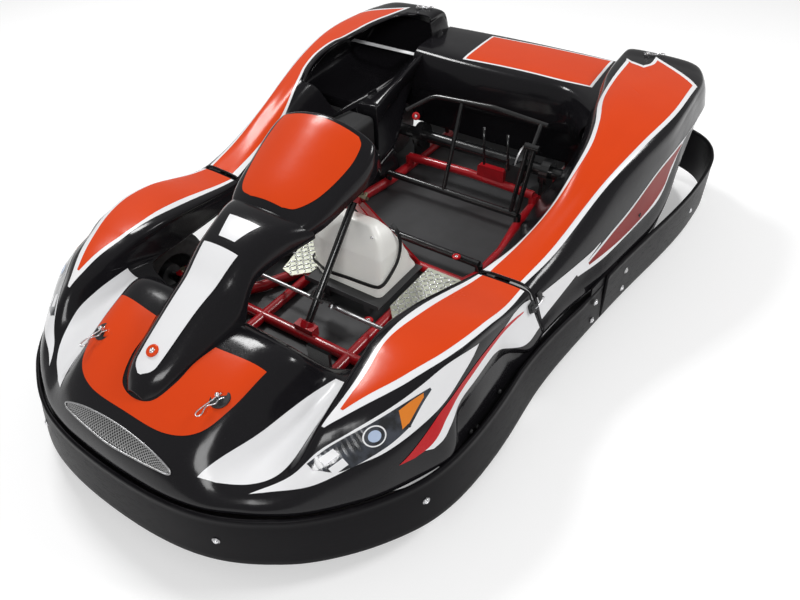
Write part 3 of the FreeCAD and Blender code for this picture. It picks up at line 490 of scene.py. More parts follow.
def floor_finish():
    """Pale floor: what the camera and mirrors see of it is lifted towards white, its shadow stays."""
    f = Finish("floor", Base_Color=(0.80, 0.80, 0.80), Roughness=0.95, Emission_Strength=1.0)
    f.set("Base Color", f.mixed(f.noise(0.8, 2.0) * 0.2, (0.80, 0.80, 0.80), (0.78, 0.78, 0.79)))
    seen = f.node("ShaderNodeLightPath")
    mirror = f.node("ShaderNodeLightPath", output=3)
    through_glass = f.node("ShaderNodeLightPath", output=6)
    shown = (seen + mirror + through_glass).math("MINIMUM", 1.0)
    f.set("Emission Color", f.mixed(shown, (0.0, 0.0, 0.0), (0.30, 0.30, 0.30)))
    return f.material


FINISH = {
    "body": gloss_black(),
    "belt": belt_black(),
    "orange": printed_sheet("orange_sheet", ORANGE, (0.60, 0.042, 0.004)),
    "white": printed_sheet("white_sheet", WHITE, (0.78, 0.78, 0.80)),
    "red": printed_sheet("red_sheet", (0.52, 0.010, 0.014), (0.42, 0.006, 0.012)),
    "wine": printed_sheet("wine_sheet", (0.260, 0.014, 0.010), (0.110, 0.007, 0.008), 0.30),
    "frame": painted("frame_paint", (0.44, 0.006, 0.012), (0.22, 0.004, 0.008)),
    "bar": painted("bar_paint", (0.008, 0.008, 0.009), (0.018, 0.018, 0.018), 0.14),
    "zinc": metal("zinc_plate", (0.66, 0.60, 0.40), 0.28),
    "steel": metal("bare_steel", (0.50, 0.50, 0.51), 0.26),
    "bright": metal("bright_metal", (0.80, 0.80, 0.82), 0.14),
    "chequer": metal("chequer_plate", (0.74, 0.76, 0.64), 0.34, (1.0, 1.0, 1.0), (0.45, 0.45, 0.38)),
    "rim": painted("rim_paint", (0.014, 0.014, 0.015), (0.03, 0.03, 0.03), 0.34),
    "tyre": tyre_rubber(),
    "tank": tank_plastic(),
    "rubber": dark_plastic("soft_rubber", (0.010, 0.010, 0.011), 0.55),
    "engine": dark_plastic("engine_black", (0.014, 0.014, 0.015), 0.62),
    # painted shade: this dark grey for the floor tray and the undertray stands in for ground in shadow seen
    # through the frame
    "tray": dark_plastic("tray_sheet", (0.045, 0.045, 0.047), 0.55),
    "glass": printed_sheet("lens_sheet", (0.50, 0.60, 0.78), (0.16, 0.22, 0.34), 0.06),
    "mesh": mesh_finish(),
    "lamp": lamp_finish(),
    "amber": printed_sheet("amber_sheet", (0.78, 0.24, 0.03), (0.62, 0.16, 0.02), 0.12),
    "floor": floor_finish(),
}

NODE_FINISH = {
    "side_bars": "bar", "body_brackets": "bar", "bumper_arms": "bar", "bumper_joint_plates": "belt",
    "frame_rails": "frame", "cross_tubes": "frame", "king_pin_yokes": "frame", "king_pins": "zinc",
    "steering_column": "bar", "column_bracket": "frame", "column_support": "frame", "column_clamp": "zinc",
    "axle_carriers": "bar", "rear_axle": "bar", "sprocket": "steel", "brake_disc": "steel",
    "rear_rims": "rim", "brake_caliper": "rim", "fuel_tank": "tank", "tank_strap": "rubber",
    # the floor tray's dark grey is painted shade for ground in shadow
    "floor_tray": "tray",
    "foot_trays": "chequer", "seat_bars": "bar", "seat_stays": "bar", "engine": "engine",
    "engine_mount": "bar",
    "pedals": "bar", "left_knuckle": "bar", "right_knuckle": "bar", "left_tie_rod": "steel",
    "right_tie_rod": "steel", "left_front_rim": "rim", "right_front_rim": "rim",
}


def finish_nodes():
    """Gives each CAD node that shows its own finish."""
    for node, finish in NODE_FINISH.items():
        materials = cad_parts[node].data.materials
        materials.clear()
        materials.append(FINISH[finish])


finish_nodes()


# ---- moulded shells ----

SHELL_WALL = 4.0 * MM


def kernel_weights(count, places, round_off):
    """Cubic weights of count points: round_off 0 passes through them, 1 smooths like a B-spline."""
    position = np.asarray(places, float) * (count - 1)
    distance = np.abs(position[:, None] - np.arange(-1, count + 1)[None])
    b = round_off
    c = (1 - b) / 2
    near = ((12 - 9 * b - 6 * c) * distance ** 3 + (-18 + 12 * b + 6 * c) * distance ** 2 + 6 - 2 * b) / 6
    far = ((-b - 6 * c) * distance ** 3 + (6 * b + 30 * c) * distance ** 2
           + (-12 * b - 48 * c) * distance + 8 * b + 24 * c) / 6
    weights = np.where(distance < 1, near, np.where(distance < 2, far, 0.0))
    inner = weights[:, 1:-1].copy()
    inner[:, 0] += 2 * weights[:, 0]
    inner[:, 1] -= weights[:, 0]
    inner[:, -1] += 2 * weights[:, -1]
    inner[:, -2] -= weights[:, -1]
    return inner


def net_surface(net, rows, columns, round_off=0.35):
    """The surface of a net of points: cubic weights down its ribs, then across them."""
    net = np.asarray(net, float)
    down = kernel_weights(net.shape[0], np.linspace(0, 1, rows), round_off)
    over = kernel_weights(net.shape[1], np.linspace(0, 1, columns), round_off)
    return np.einsum("ri,ijk,cj->rck", down, net, over)


def bead(name, path, radius, body="chassis", finish="body", closed=False, sides=10):
    """A rolled edge along a shell's rim."""
    points = tube_points(path, radius, sides, closed)
    if closed:
        return grid_piece(name, body, FINISH[finish], points, True, True, flip=True)
    vertices, faces = closed_grid(points)
    return outward(new_piece(name, body, FINISH[finish], vertices, faces))


FRONT_RIBS = [
    [(0, -950, 166), (0, -957, 186), (0, -940, 232), (0, -888, 268), (0, -790, 312), (0, -700, 337),
     (0, -640, 342), (0, -605, 300), (0, -565, 228)],
    [(98, -946, 166), (101, -953, 186), (104, -931, 232), (103, -884, 270), (100, -790, 313),
     (98, -700, 338), (97, -640, 343), (97, -605, 300), (95, -565, 228)],
    [(163, -938, 166), (168, -945, 186), (174, -919, 226), (180, -876, 262), (194, -790, 308),
     (210, -705, 333), (220, -645, 340), (220, -608, 300), (215, -570, 228)],
    [(226, -922, 166), (230, -929, 186), (237, -905, 207), (240, -870, 218), (250, -790, 232),
     (264, -700, 250), (274, -640, 262), (276, -600, 262), (272, -560, 240)],
    [(277, -898, 166), (282, -905, 186), (287, -884, 204), (290, -850, 212), (296, -780, 228),
     (305, -700, 246), (310, -640, 258), (312, -600, 264), (306, -556, 256)],
    [(330, -869, 166), (335, -876, 186), (336, -850, 208), (334, -815, 222), (334, -760, 244),
     (334, -700, 262), (334, -650, 272), (330, -600, 276), (322, -545, 266)],
    [(385, -830, 166), (391, -836, 186), (388, -806, 232), (372, -780, 262), (362, -745, 296),
     (352, -690, 305), (342, -640, 300), (334, -590, 285), (326, -530, 268)],
    [(441, -770, 166), (448, -775, 186), (442, -741, 248), (420, -722, 280), (390, -702, 313),
     (358, -675, 315), (342, -640, 304), (335, -590, 288), (328, -520, 268)],
    [(488, -706, 166), (496, -710, 186), (491, -676, 258), (455, -660, 305), (412, -648, 331),
     (352, -630, 326), (341, -605, 312), (335, -560, 290), (329, -505, 268)],
    [(536, -604, 166), (544, -606, 186), (512, -593, 262), (472, -588, 318), (437, -585, 341),
     (346, -570, 338), (338, -545, 320), (333, -520, 292), (330, -485, 268)],
    [(543, -562, 170), (550, -562, 186), (517, -560, 262), (490, -560, 318), (450, -560, 345),
     (343, -545, 344), (336, -525, 322), (332, -500, 294), (331, -470, 268)],
    [(524, -520, 215), (524, -520, 240), (515, -520, 286), (496, -520, 326), (464, -520, 348),
     (343, -507, 347), (335, -490, 324), (332, -475, 295), (331, -450, 268)],
    [(526, -450, 245), (524, -450, 266), (516, -450, 298), (505, -450, 326), (487, -451, 348),
     (344, -459, 344), (336, -450, 324), (333, -440, 296), (332, -425, 268)],
    [(525, -370, 240), (523, -370, 262), (518, -370, 290), (510, -368, 316), (497, -366, 337),
     (352, -377, 330), (344, -374, 314), (340, -370, 292), (339, -366, 268)],
    [(524, -300, 212), (522, -300, 242), (517, -300, 276), (511, -300, 298), (500, -300, 317),
     (366, -293, 311), (358, -290, 298), (354, -288, 282), (352, -286, 262)],
    [(545, -240, 170), (553, -240, 186), (523, -240, 248), (512, -240, 282), (499, -240, 300),
     (376, -235, 297), (368, -233, 288), (364, -231, 272), (362, -230, 254)],
    [(546, -178, 170), (554, -178, 186), (526, -178, 243), (514, -178, 274), (500, -178, 290),
     (388, -178, 287), (380, -178, 279), (376, -178, 264), (374, -178, 248)],
]

POD_RIBS = [
    (-172, [(546, 170), (554, 187), (536, 216), (519, 272), (497, 294), (445, 294), (392, 291), (378, 276),
            (362, 205), (336, 118)]),
    (-60, [(560, 172), (568, 190), (549, 230), (528, 292), (495, 313), (462, 314), (424, 306), (402, 281),
           (378, 205), (326, 112)]),
    (80, [(590, 178), (597, 197), (570, 245), (545, 322), (512, 356), (482, 354), (442, 344), (417, 284),
          (388, 208), (304, 106)]),
    (200, [(606, 178), (613, 197), (586, 250), (560, 352), (538, 390), (497, 402), (440, 400), (410, 292),
           (376, 208), (288, 106)]),
    (330, [(623, 178), (630, 197), (603, 256), (584, 372), (568, 420), (510, 432), (424, 438), (390, 296),
           (352, 208), (278, 108)]),
    (455, [(624, 226), (630, 240), (613, 300), (601, 388), (589, 438), (520, 450), (388, 455), (360, 300),
           (330, 220), (280, 140)]),
    (560, [(618, 330), (611, 362), (606, 390), (600, 420), (590, 448), (520, 457), (368, 460), (344, 340),
           (328, 262), (322, 205)]),
    (650, [(611, 368), (606, 392), (602, 408), (597, 428), (586, 449), (520, 460), (354, 462), (338, 420),
           (330, 340), (324, 300)]),
    (770, [(604, 372), (599, 394), (596, 408), (588, 430), (572, 449), (512, 459), (344, 461), (336, 440),
           (328, 412), (322, 376)]),
    (850, [(566, 368), (560, 392), (556, 408), (548, 430), (532, 446), (480, 454), (342, 456), (336, 438),
           (328, 410), (322, 376)]),
    (880, [(552, 340), (546, 348), (542, 352), (536, 360), (520, 365), (470, 368), (342, 368), (336, 366),
           (328, 362), (322, 358)]),
]

SPINE_ROWS = [
    (-862, [(34, 258), (28, 276), (20, 288), (10, 294), (0, 296)]),
    (-838, [(54, 270), (46, 300), (32, 316), (16, 323), (0, 325)]),
    (-795, [(68, 292), (58, 325), (42, 340), (22, 348), (0, 351)]),
    (-700, [(88, 318), (76, 356), (56, 383), (36, 397), (0, 400)]),
    (-645, [(96, 332), (86, 370), (67, 401), (42, 421), (0, 426)]),
    (-610, [(88, 386), (82, 408), (68, 428), (45, 445), (0, 450)]),
    (-575, [(82, 412), (80, 428), (70, 450), (50, 465), (0, 470)]),
    (-520, [(90, 424), (90, 438), (80, 465), (58, 482), (0, 487)]),
    (-470, [(104, 430), (106, 442), (98, 468), (72, 484), (0, 490)]),
    (-425, [(118, 438), (118, 450), (108, 464), (82, 474), (0, 480)]),
]


def both_sides(left):
    """A half net and its mirror image as one net across the kart; the first rib is on the middle."""
    left = placed(left)
    return np.concatenate([mirrored(left[:0:-1]), left])


def front_shell():
    points = net_surface(both_sides(FRONT_RIBS), 300, 112)
    piece = grid_piece("front_body_shell", "chassis", FINISH["body"], points)
    thicken(piece, SHELL_WALL)
    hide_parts("front_body")
    bead("front_body_inner_edge", points[:, -1], 4.5 * MM)
    bead("front_body_outer_edge", points[:, 0], 3.5 * MM)
    return piece


def pod_net():
    return placed([[(x, y, z) for x, z in rib] for y, rib in POD_RIBS])


BAY_OUTLINE = [(452, 213), (476, 275), (490, 337), (491, 390), (485, 435), (469, 466), (462, 520),
               (459, 577), (451, 640), (441, 690), (420, 728), (385, 750), (300, 742), (250, 610),
               (250, 480), (300, 470), (385, 300)]
BAY_EDGE = 12


def cut_away(piece, points):
    """Cuts an upright block with a round outline out of a closed shell."""
    vertices, faces = closed_grid(points)
    block = bpy.data.objects.new("block", bpy.data.meshes.new("block"))
    block.data.from_pydata(vertices.tolist(), [], faces)
    bpy.context.scene.collection.objects.link(block)
    outward(block)
    cut = piece.modifiers.new("cut", "BOOLEAN")
    cut.operation = "DIFFERENCE"
    cut.solver = "EXACT"
    cut.object = block
    settle(piece)
    bpy.data.objects.remove(block)
    piece.data.polygons.foreach_set("use_smooth", [True] * len(piece.data.polygons))
    return piece


def surface_height(points, spots):
    """Height of a grid's highest surface at plan spots: the nearest point of its upper half."""
    flat = points.reshape(-1, 3)
    flat = flat[flat[:, 2] > np.median(flat[:, 2])]
    gap = np.linalg.norm(spots[:, None, :2] - flat[None, :, :2], axis=2)
    return flat[np.argmin(gap, axis=1), 2]


def bay_cut(piece):
    """Cuts the engine bay's outline out of a piece from above."""
    line = through(mirrored(placed([(x, y, 0) for x, y in BAY_OUTLINE])), 160, closed=True)
    foot = line.copy()
    foot[:, 2] = 0.300 + 0.13 * (line[:, 1] - 0.340)
    top = line.copy()
    top[:, 2] = 0.60
    return cut_away(piece, np.stack([foot, top]))


def engine_bay(pod, surface):
    """Opens the right pod over the engine, and rolls the edge of the opening."""
    bay_cut(pod)
    low, high = span("engine")
    room = np.array([[low[0] - 0.006, low[1] - 0.006], [-0.250, low[1] - 0.006], [-0.250, high[1] + 0.006],
                     [low[0] - 0.006, high[1] + 0.006]])
    foot = np.hstack([room, np.full((4, 1), low[2] - 0.018)])
    top = np.hstack([room, np.full((4, 1), high[2] + 0.006)])
    cut_away(pod, np.stack([foot, top]))
    edge = through(mirrored(placed([(x, y, 0) for x, y in BAY_OUTLINE[:BAY_EDGE]])), 120)
    height = np.pad(surface_height(surface, edge), 6, mode="edge")
    edge[:, 2] = np.convolve(height, np.ones(13) / 13, "valid")
    bead("engine_bay_edge", edge, 4.5 * MM)


def side_pods():
    points = net_surface(pod_net(), 220, 84)
    pods = {}
    for side in ("left", "right"):
        grid = points if side == "left" else mirrored(points)
        piece = grid_piece(side + "_pod_shell", "chassis", FINISH["body"], grid,
                           flip=side == "right")
        thicken(piece, SHELL_WALL)
        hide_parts(side + "_side_pod")
        bead(side + "_pod_outer_edge", grid[:, 0], 3.0 * MM)
        if side == "right":
            engine_bay(settle(piece), grid)
        pods[side] = piece
    return pods


def spine_shell():
    net = []
    for y, half in SPINE_ROWS:
        left = [(x, y, z) for x, z in half]
        net.append(left + [(-x, y, z) for x, y, z in left[-2::-1]])
    points = net_surface(placed(net), 110, 76)
    piece = grid_piece("spine_shell", "chassis", FINISH["body"], points, flip=True)
    thicken(piece, SHELL_WALL)
    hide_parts("spine_fairing")
    return piece


def dash_shell():
    rows = [
        (-462, 70, 470, 30), (-445, 92, 490, 34), (-400, 112, 517, 40), (-330, 124, 551, 46),
        (-270, 134, 581, 54), (-232, 132, 599, 60), (-212, 122, 600, 66),
    ]
    crown = 0.002
    net = []
    for y, half, top, drop in rows:
        edge = top - crown * half * half
        left = [(half + 14, y, edge - drop), (half + 12, y, edge - drop * 0.4), (half, y, edge),
                (half * 0.55, y, top - crown * (half * 0.55) ** 2), (0, y, top)]
        net.append(left + [(-x, y, z) for x, y, z in left[-2::-1]])
    net.append([(x * 0.96, y + 16, z - 62 if abs(x) < 130 else z - 20) for x, y, z in net[-1]])
    points = net_surface(placed(net), 90, 84)
    piece = grid_piece("dash_shell", "chassis", FINISH["body"], points, flip=True)
    thicken(piece, SHELL_WALL)
    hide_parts("dash_panel")
    return piece


def deck_shell():
    """The deck and its bulkhead; on the left its front edge sweeps forward round the cockpit's corner."""
    edge = 330.0
    net = []
    for x in (edge, 316, 292, 256, 200, 100, 0, -100, -200, -280, -edge):
        bow = 18.0 * (1 - (x / edge) ** 2)
        sweep = 132.0 * (max(x - 190, 0) / (edge - 190)) ** 2.2
        out = x + 36 * (max(x - 270, 0) / (edge - 270))
        net.append([(x, 905 + bow, 262), (x, 912 + bow, 330), (x, 900 + bow, 378), (x, 870, 387),
                    (x, 770, 389), (out, 672 - bow - sweep, 386), (out, 646 - bow - sweep, 362),
                    (x, 632 - bow - sweep * 0.85, 318), (x, 630 - bow - sweep * 0.5, 262),
                    (x, 646 - bow / 2, 190), (x, 656 - bow / 2, 130)])
    points = net_surface(placed(net), 110, 84)
    piece = grid_piece("deck_shell", "chassis", FINISH["body"], points)
    thicken(piece, SHELL_WALL)
    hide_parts("rear_deck")
    return piece


# ---- printed sheets ----

SHEET = 0.3 * MM
UNDER = 0.5 * MM
OVER = 0.9 * MM
TOP_OVER = 1.3 * MM
POD_GRAIN = 6.0 * MM
LAID = {"down": (0, 0, 1), "in": (1, 0, 0), "slant": (1, 0, 1)}


def in_space(outline, way):
    """Drawn outline pairs as places: (x, y) for a sheet laid down, (y, z) for one laid inwards, and
    (x less z, y) for one laid on the slant, where only that difference counts."""
    first, second = np.asarray(outline, float).T
    flat = np.full(len(first), 1.0)
    columns = {"down": (first, second, 500.0 * flat), "in": (640.0 * flat, first, second),
               "slant": (400.0 + first / 2, second, 400.0 - first / 2)}[way]
    return placed(np.column_stack(columns))


def sheet(name, shell, slot, finish, way, first, second, lift=OVER, grain=0.0048, both=True):
    """A printed sheet on a shell: every point lies on a straight line between two outline rails at one
    share of their lengths, is laid straight onto the shell along its way, and gets a thin wall."""
    rails = [through(in_space(rail, way), 400) for rail in (first, second)]
    length = max(np.linalg.norm(np.diff(rail, axis=0), axis=1).sum() for rail in rails)
    width = np.linalg.norm(rails[0] - rails[1], axis=1).max()
    rails = [even_steps(rail, max(8, round(length / grain))) for rail in rails]
    share = np.linspace(0, 1, max(4, round(width / grain)))[None, :, None]
    points = rails[0][:, None] * (1 - share) + rails[1][:, None] * share
    out = np.array(LAID[way], float)
    points = points + 0.16 * out / np.linalg.norm(out)
    piece = grid_piece(name, "chassis", FINISH[finish], points)
    press = piece.modifiers.new("press", "SHRINKWRAP")
    press.wrap_method = "PROJECT"
    press.wrap_mode = "ABOVE_SURFACE"
    press.use_positive_direction = False
    press.use_negative_direction = True
    press.use_project_x = out[0] > 0
    press.use_project_z = out[2] > 0
    press.target = shell
    press.offset = lift
    settle(piece)
    face_up(piece, out)
    thicken(piece, SHEET, 1.0)
    settle(piece)
    piece.data.set_sharp_from_angle(angle=math.radians(50))
    return [piece, twin(piece)] if both else [piece]


def face_up(piece, out):
    """Turns the sheet over if its faces look away from the side it was laid from."""
    normals = np.zeros(len(piece.data.polygons) * 3)
    piece.data.polygons.foreach_get("normal", normals)
    if (normals.reshape(-1, 3) @ out).sum() < 0:
        piece.data.flip_normals()


def twin(piece):
    """The mirror image of a piece, for the kart's right side."""
    other = piece.copy()
    other.name = piece.name.replace("left", "right")
    other.data = piece.data.copy()
    bpy.context.scene.collection.objects.link(other)
    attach(other, "chassis")
    return to_other_side(other)


def to_other_side(piece):
    """Moves a piece's mesh to the kart's other side."""
    place = np.zeros(len(piece.data.vertices) * 3)
    piece.data.vertices.foreach_get("co", place)
    piece.data.vertices.foreach_set("co", mirrored(place.reshape(-1, 3)).ravel())
    piece.data.flip_normals()
    return piece


def disc(name, shell, slot, finish, centre, radius, lift):
    """A round spot laid on the slant, with two half circles as its rails: seen along the slant, x less z
    is stretched by the root of two."""
    turn = np.linspace(0.02, np.pi - 0.02, 24)
    rails = [np.column_stack([centre[0] + side * radius * math.sqrt(2) * np.sin(turn),
                              centre[1] + radius * np.cos(turn)]) for side in (1, -1)]
    return sheet(name, shell, slot, finish, "slant", *rails, lift, 0.0025)


def whole(half):
    """A rail across the kart from its half, which ends on the middle."""
    return half + [(-place[0],) + tuple(place[1:]) for place in half[-2::-1]]


def facing(rail):
    """A rail and its mirror image."""
    return [(-x, y) for x, y in rail], rail


# Each outline is two rails. A place given twice is a sharp corner.

FENDER_WHITE = ([(365, -733), (368, -640), (357, -525), (360, -390), (386, -186)],
                [(371, -733), (440, -617), (492, -480), (508, -340), (502, -186)])
FENDER_ORANGE = ([(378, -692), (378, -620), (367, -525), (376, -420), (396, -186)],
                 [(384, -692), (444, -576), (484, -463), (498, -330), (492, -186)])
NOSE_WHITE = ([(202, -906), (240, -797), (266, -690), (291, -600)],
              [(234, -892), (290, -856), (324, -815), (337, -760), (336, -690), (331, -603)])
LAMP_WHITE = ([(86, -873), (114, -818), (103, -765), (115, -712), (142, -605), (154, -510), (186, -412)],
              [(106, -857), (160, -808), (190, -741), (215, -685), (232, -570), (211, -480), (198, -438)])
LAMP_BLACK = ([(111, -788), (111, -748), (131, -682), (149, -620), (167, -561)],
              [(131, -790), (180, -760), (203, -692), (207, -632), (207, -632), (174, -561)])
LAMP_AMBER = ([(154, -632), (159, -602), (166, -576)], [(197, -648), (197, -630), (197, -630), (175, -580)])
LAMP_BAR_STARTS = (118, 152)
LAMP_BAR_WIDTH = 22
LAMP_CENTRE = (162, -690)
RED_STRIPE = ([(-684, 231), (-620, 255), (-530, 282), (-430, 297), (-320, 293), (-222, 270)],
              [(-652, 228), (-605, 234), (-525, 268), (-440, 286), (-340, 288), (-226, 268)])
STRIPE_WHITE = ([(-652, 238), (-600, 255), (-530, 278), (-430, 295), (-320, 292), (-230, 288), (-186, 276)],
                [(-612, 222), (-575, 228), (-500, 257), (-400, 268), (-350, 260), (-286, 218), (-240, 205),
                 (-186, 207)])
ARROW_WHITE = ([(-165, 270), (-50, 267), (50, 269), (99, 275)],
               [(-165, 214), (-80, 229), (5, 248), (101, 273)])
WEDGE_WHITE = ([(-10, 246), (140, 275), (250, 297), (400, 345), (520, 361), (664, 372)],
               [(-8, 238), (110, 234), (310, 243), (400, 260), (461, 302), (515, 343), (570, 365),
                (664, 364)])
WEDGE_DARK = ([(40, 250), (150, 271), (250, 291), (400, 339), (530, 357)],
              [(42, 244), (200, 241), (330, 251), (420, 278), (465, 317), (528, 353)])
POD_WHITE = ([(493, -168), (512, -40), (532, 146), (565, 341), (587, 505), (586, 690)],
             [(388, -168), (417, -50), (438, 100), (443, 240), (425, 350), (388, 468), (373, 600),
              (373, 600), (364, 736), (364, 736), (420, 716), (420, 716), (433, 744), (430, 798)])
POD_ORANGE = ([(483, -168), (501, -35), (522, 146), (555, 344), (577, 505), (575, 680)],
              [(407, -168), (428, -30), (447, 113), (453, 250), (434, 356), (397, 478), (383, 605),
               (383, 605), (377, 718), (377, 718), (427, 701), (427, 701), (443, 740), (442, 776)])
BAY_SHARE = 10


def bay_rail(pod_rail, margin, end):
    """The right pod's inner rail: the pod's own up to the engine bay, then the bay's edge and a margin."""
    return pod_rail[:3] + [(x + margin, y) for x, y in BAY_OUTLINE[:BAY_SHARE]] + [end]


BAY_WHITE = bay_rail(POD_WHITE[1], 13, (438, 792))
BAY_ORANGE = bay_rail(POD_ORANGE[1], 22, (451, 770))
NOSE_ORANGE = (whole([(210, -703), (197, -790), (168, -856), (104, -887), (0, -891)]),
               whole([(86, -713), (72, -760), (66, -805), (44, -852), (0, -865)]))
SPINE_WHITE = facing([(47, -578), (35, -680), (28, -795), (22, -822), (4, -836)])
SPINE_SPOT = facing([(43, -502), (32, -530), (22, -559)])
DASH_ORANGE = ([(-48, -433), (-80, -423), (-101, -390), (-120, -315), (-122, -255), (-116, -226)],
               [(42, -433), (72, -421), (100, -376), (117, -295), (114, -245), (99, -229)])
DECK_ORANGE = ([(-146, 872), (60, 881), (272, 880)], [(-138, 664), (60, 673), (288, 668)])
DECK_WHITE = ([(-154, 878), (60, 888), (280, 887)], [(-146, 657), (60, 666), (298, 661)])


def printed_sheets(front, pods, spine, dash, deck):
    """All the sheets, the light under-sheets first."""
    white = "sheet_white", "white"
    orange = "sheet_orange", "orange"
    sheet("left_fender_edging", front, *white, "down", *FENDER_WHITE, UNDER)
    sheet("left_fender_sheet", front, *orange, "down", *FENDER_ORANGE)
    sheet("left_nose_panel", front, *white, "down", *NOSE_WHITE, UNDER)
    sheet("left_lamp_panel", front, *white, "slant", *LAMP_WHITE, UNDER)
    sheet("left_lamp_sheet", front, "body_black", "lamp", "slant", *LAMP_BLACK)
    sheet("left_lamp_amber", front, "sheet_orange", "amber", "slant", *LAMP_AMBER, TOP_OVER)
    for number, start in enumerate(LAMP_BAR_STARTS, 1):
        rails = [[(edge, -773), (edge + 2, -747)] for edge in (start, start + LAMP_BAR_WIDTH)]
        sheet("left_lamp_bar_%d" % number, front, *white, "slant", *rails, TOP_OVER, 0.003)
    disc("left_lamp_ring", front, *white, LAMP_CENTRE, 19.0, TOP_OVER)
    disc("left_lamp_glass", front, "body_black", "lamp", LAMP_CENTRE, 16.5, TOP_OVER + 0.4 * MM)
    disc("left_lamp_lens", front, "sheet_white", "glass", LAMP_CENTRE, 10.5, TOP_OVER + 0.8 * MM)
    sheet("left_stripe_edging", front, *white, "in", *STRIPE_WHITE, UNDER)
    sheet("left_red_stripe", front, "sheet_red", "red", "in", *RED_STRIPE)
    sheet("nose_sheet", front, *orange, "down", *NOSE_ORANGE, both=False)
    left = pods["left"]
    sheet("left_arrow", left, *white, "in", *ARROW_WHITE)
    sheet("left_wedge_edging", left, *white, "in", *WEDGE_WHITE, UNDER)
    sheet("left_wedge", left, "sheet_red", "wine", "in", *WEDGE_DARK)
    sheet("left_pod_edging", left, *white, "down", *POD_WHITE, UNDER, POD_GRAIN, both=False)
    sheet("left_pod_sheet", left, *orange, "down", *POD_ORANGE, OVER, POD_GRAIN, both=False)
    edging, = sheet("right_pod_edging", left, *white, "down", POD_WHITE[0], BAY_WHITE, UNDER, POD_GRAIN,
                    both=False)
    cover, = sheet("right_pod_sheet", left, *orange, "down", POD_ORANGE[0], BAY_ORANGE, OVER, POD_GRAIN,
                   both=False)
    to_other_side(edging)
    to_other_side(cover)
    sheet("spine_stripe", spine, *white, "down", *SPINE_WHITE, both=False)
    sheet("spine_spot", spine, *white, "down", *SPINE_SPOT, both=False)
    sheet("dash_sheet", dash, *orange, "down", *DASH_ORANGE, both=False)
    sheet("deck_edging", deck, *white, "down", *DECK_WHITE, UNDER, both=False)
    sheet("deck_sheet", deck, *orange, "down", *DECK_ORANGE, both=False)


# ---- bumper belt ----

BELT_OUTLINE = [
    (57, -991), (150, -983), (228, -967), (294, -941), (351, -908), (411, -866), (478, -795), (526, -726),
    (560, -662), (580, -590), (590, -500), (592, -400), (587, -300), (585, -230), (590, -130), (603, 0),
    (620, 160), (640, 300), (660, 430), (674, 560), (677, 650), (677, 740), (668, 810), (640, 880),
    (590, 932), (500, 970), (380, 985), (200, 991),
]
BELT_JOINT = 75.0
SEAM = 3.0


def belt_path(count):
    """The belt's outside all round, at even steps, starting at the front on the left."""
    half = placed([(x, y, 0) for x, y in BELT_OUTLINE])
    poles = np.vstack([half, mirrored(half[::-1])])
    fine = np.linspace(0, len(poles), 4000, endpoint=False)
    i = fine.astype(int)
    f = (fine - i)[:, None]
    a, b, c = poles[i - 1], poles[i % len(poles)], poles[(i + 1) % len(poles)]
    line = 0.5 * ((1 - f) ** 2 * a + (1 + 2 * f - 2 * f ** 2) * b + f ** 2 * c)
    return even_steps(np.vstack([line, line[:1]]), count, closed=True)


def belt_run(path, chosen):
    """The chosen stretch of the closed path in one run, wherever the path starts."""
    order = np.where(chosen)[0]
    gap = np.argmax(np.diff(order))
    if np.diff(order)[gap] > 1:
        order = np.roll(order, -gap - 1)
    return path[order]


def belt_out(path):
    """Level directions square to the path, away from the kart."""
    out = np.cross(np.gradient(path, axis=0), [0.0, 0.0, 1.0])
    return out / np.linalg.norm(out, axis=1, keepdims=True)


FRONT_BELT_LEAN = 0.021
LEAN_RUN = 0.375
FRONT_BELT_HEIGHT = 0.119
REAR_BELT_HEIGHT = 0.143
BELT_WALL = 0.007


def belt_section(height):
    """(out, up) round a belt's section: a thin wall with a rolled foot and a lipped top."""
    w = -BELT_WALL
    return [
        (0.0, 0.004), (-0.0012, 0.0012), (-0.004, 0.0), (w, 0.0015), (w - 0.0005, 0.004), (w, height * 0.42),
        (w, height - 0.015), (w - 0.0013, height - 0.009), (w - 0.0013, height - 0.004),
        (w, height - 0.0008), (-0.0035, height), (0.0, height - 0.0008), (0.0012, height - 0.004),
        (0.0010, height - 0.009), (-0.0006, height - 0.014), (-0.0002, height - 0.021),
        (0.0004, height * 0.6), (0.0004, height * 0.35), (0.0, 0.015),
    ]


def belt_points(path, height, lean):
    """The section carried along the outline; its top leans in by the given amounts."""
    out = belt_out(path)
    section = np.array(belt_section(height))
    reach = section[None, :, 0] - lean[:, None] * section[None, :, 1] / height
    points = path[:, None] + out[:, None] * reach[..., None]
    points[..., 2] = BELT_LOW[2] + section[None, :, 1]
    return points


def belt_pieces():
    path = belt_path(900)
    joint = placed([0, BELT_JOINT, 0])[1]
    seam = SEAM * MM / 2
    for name, chosen in (("front", path[:, 1] < joint - seam), ("rear", path[:, 1] > joint + seam)):
        run = belt_run(path, chosen)
        if name == "front":
            lean = FRONT_BELT_LEAN * np.clip((joint - run[:, 1]) / LEAN_RUN, 0.3, 1.0)
            points = belt_points(run, FRONT_BELT_HEIGHT, lean)
        else:
            points = belt_points(run, REAR_BELT_HEIGHT, np.zeros(len(run)))
        vertices, faces = closed_grid(points)
        piece = outward(new_piece("belt_" + name, "chassis", FINISH["belt"], vertices, faces))
        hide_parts("bumper_" + name)


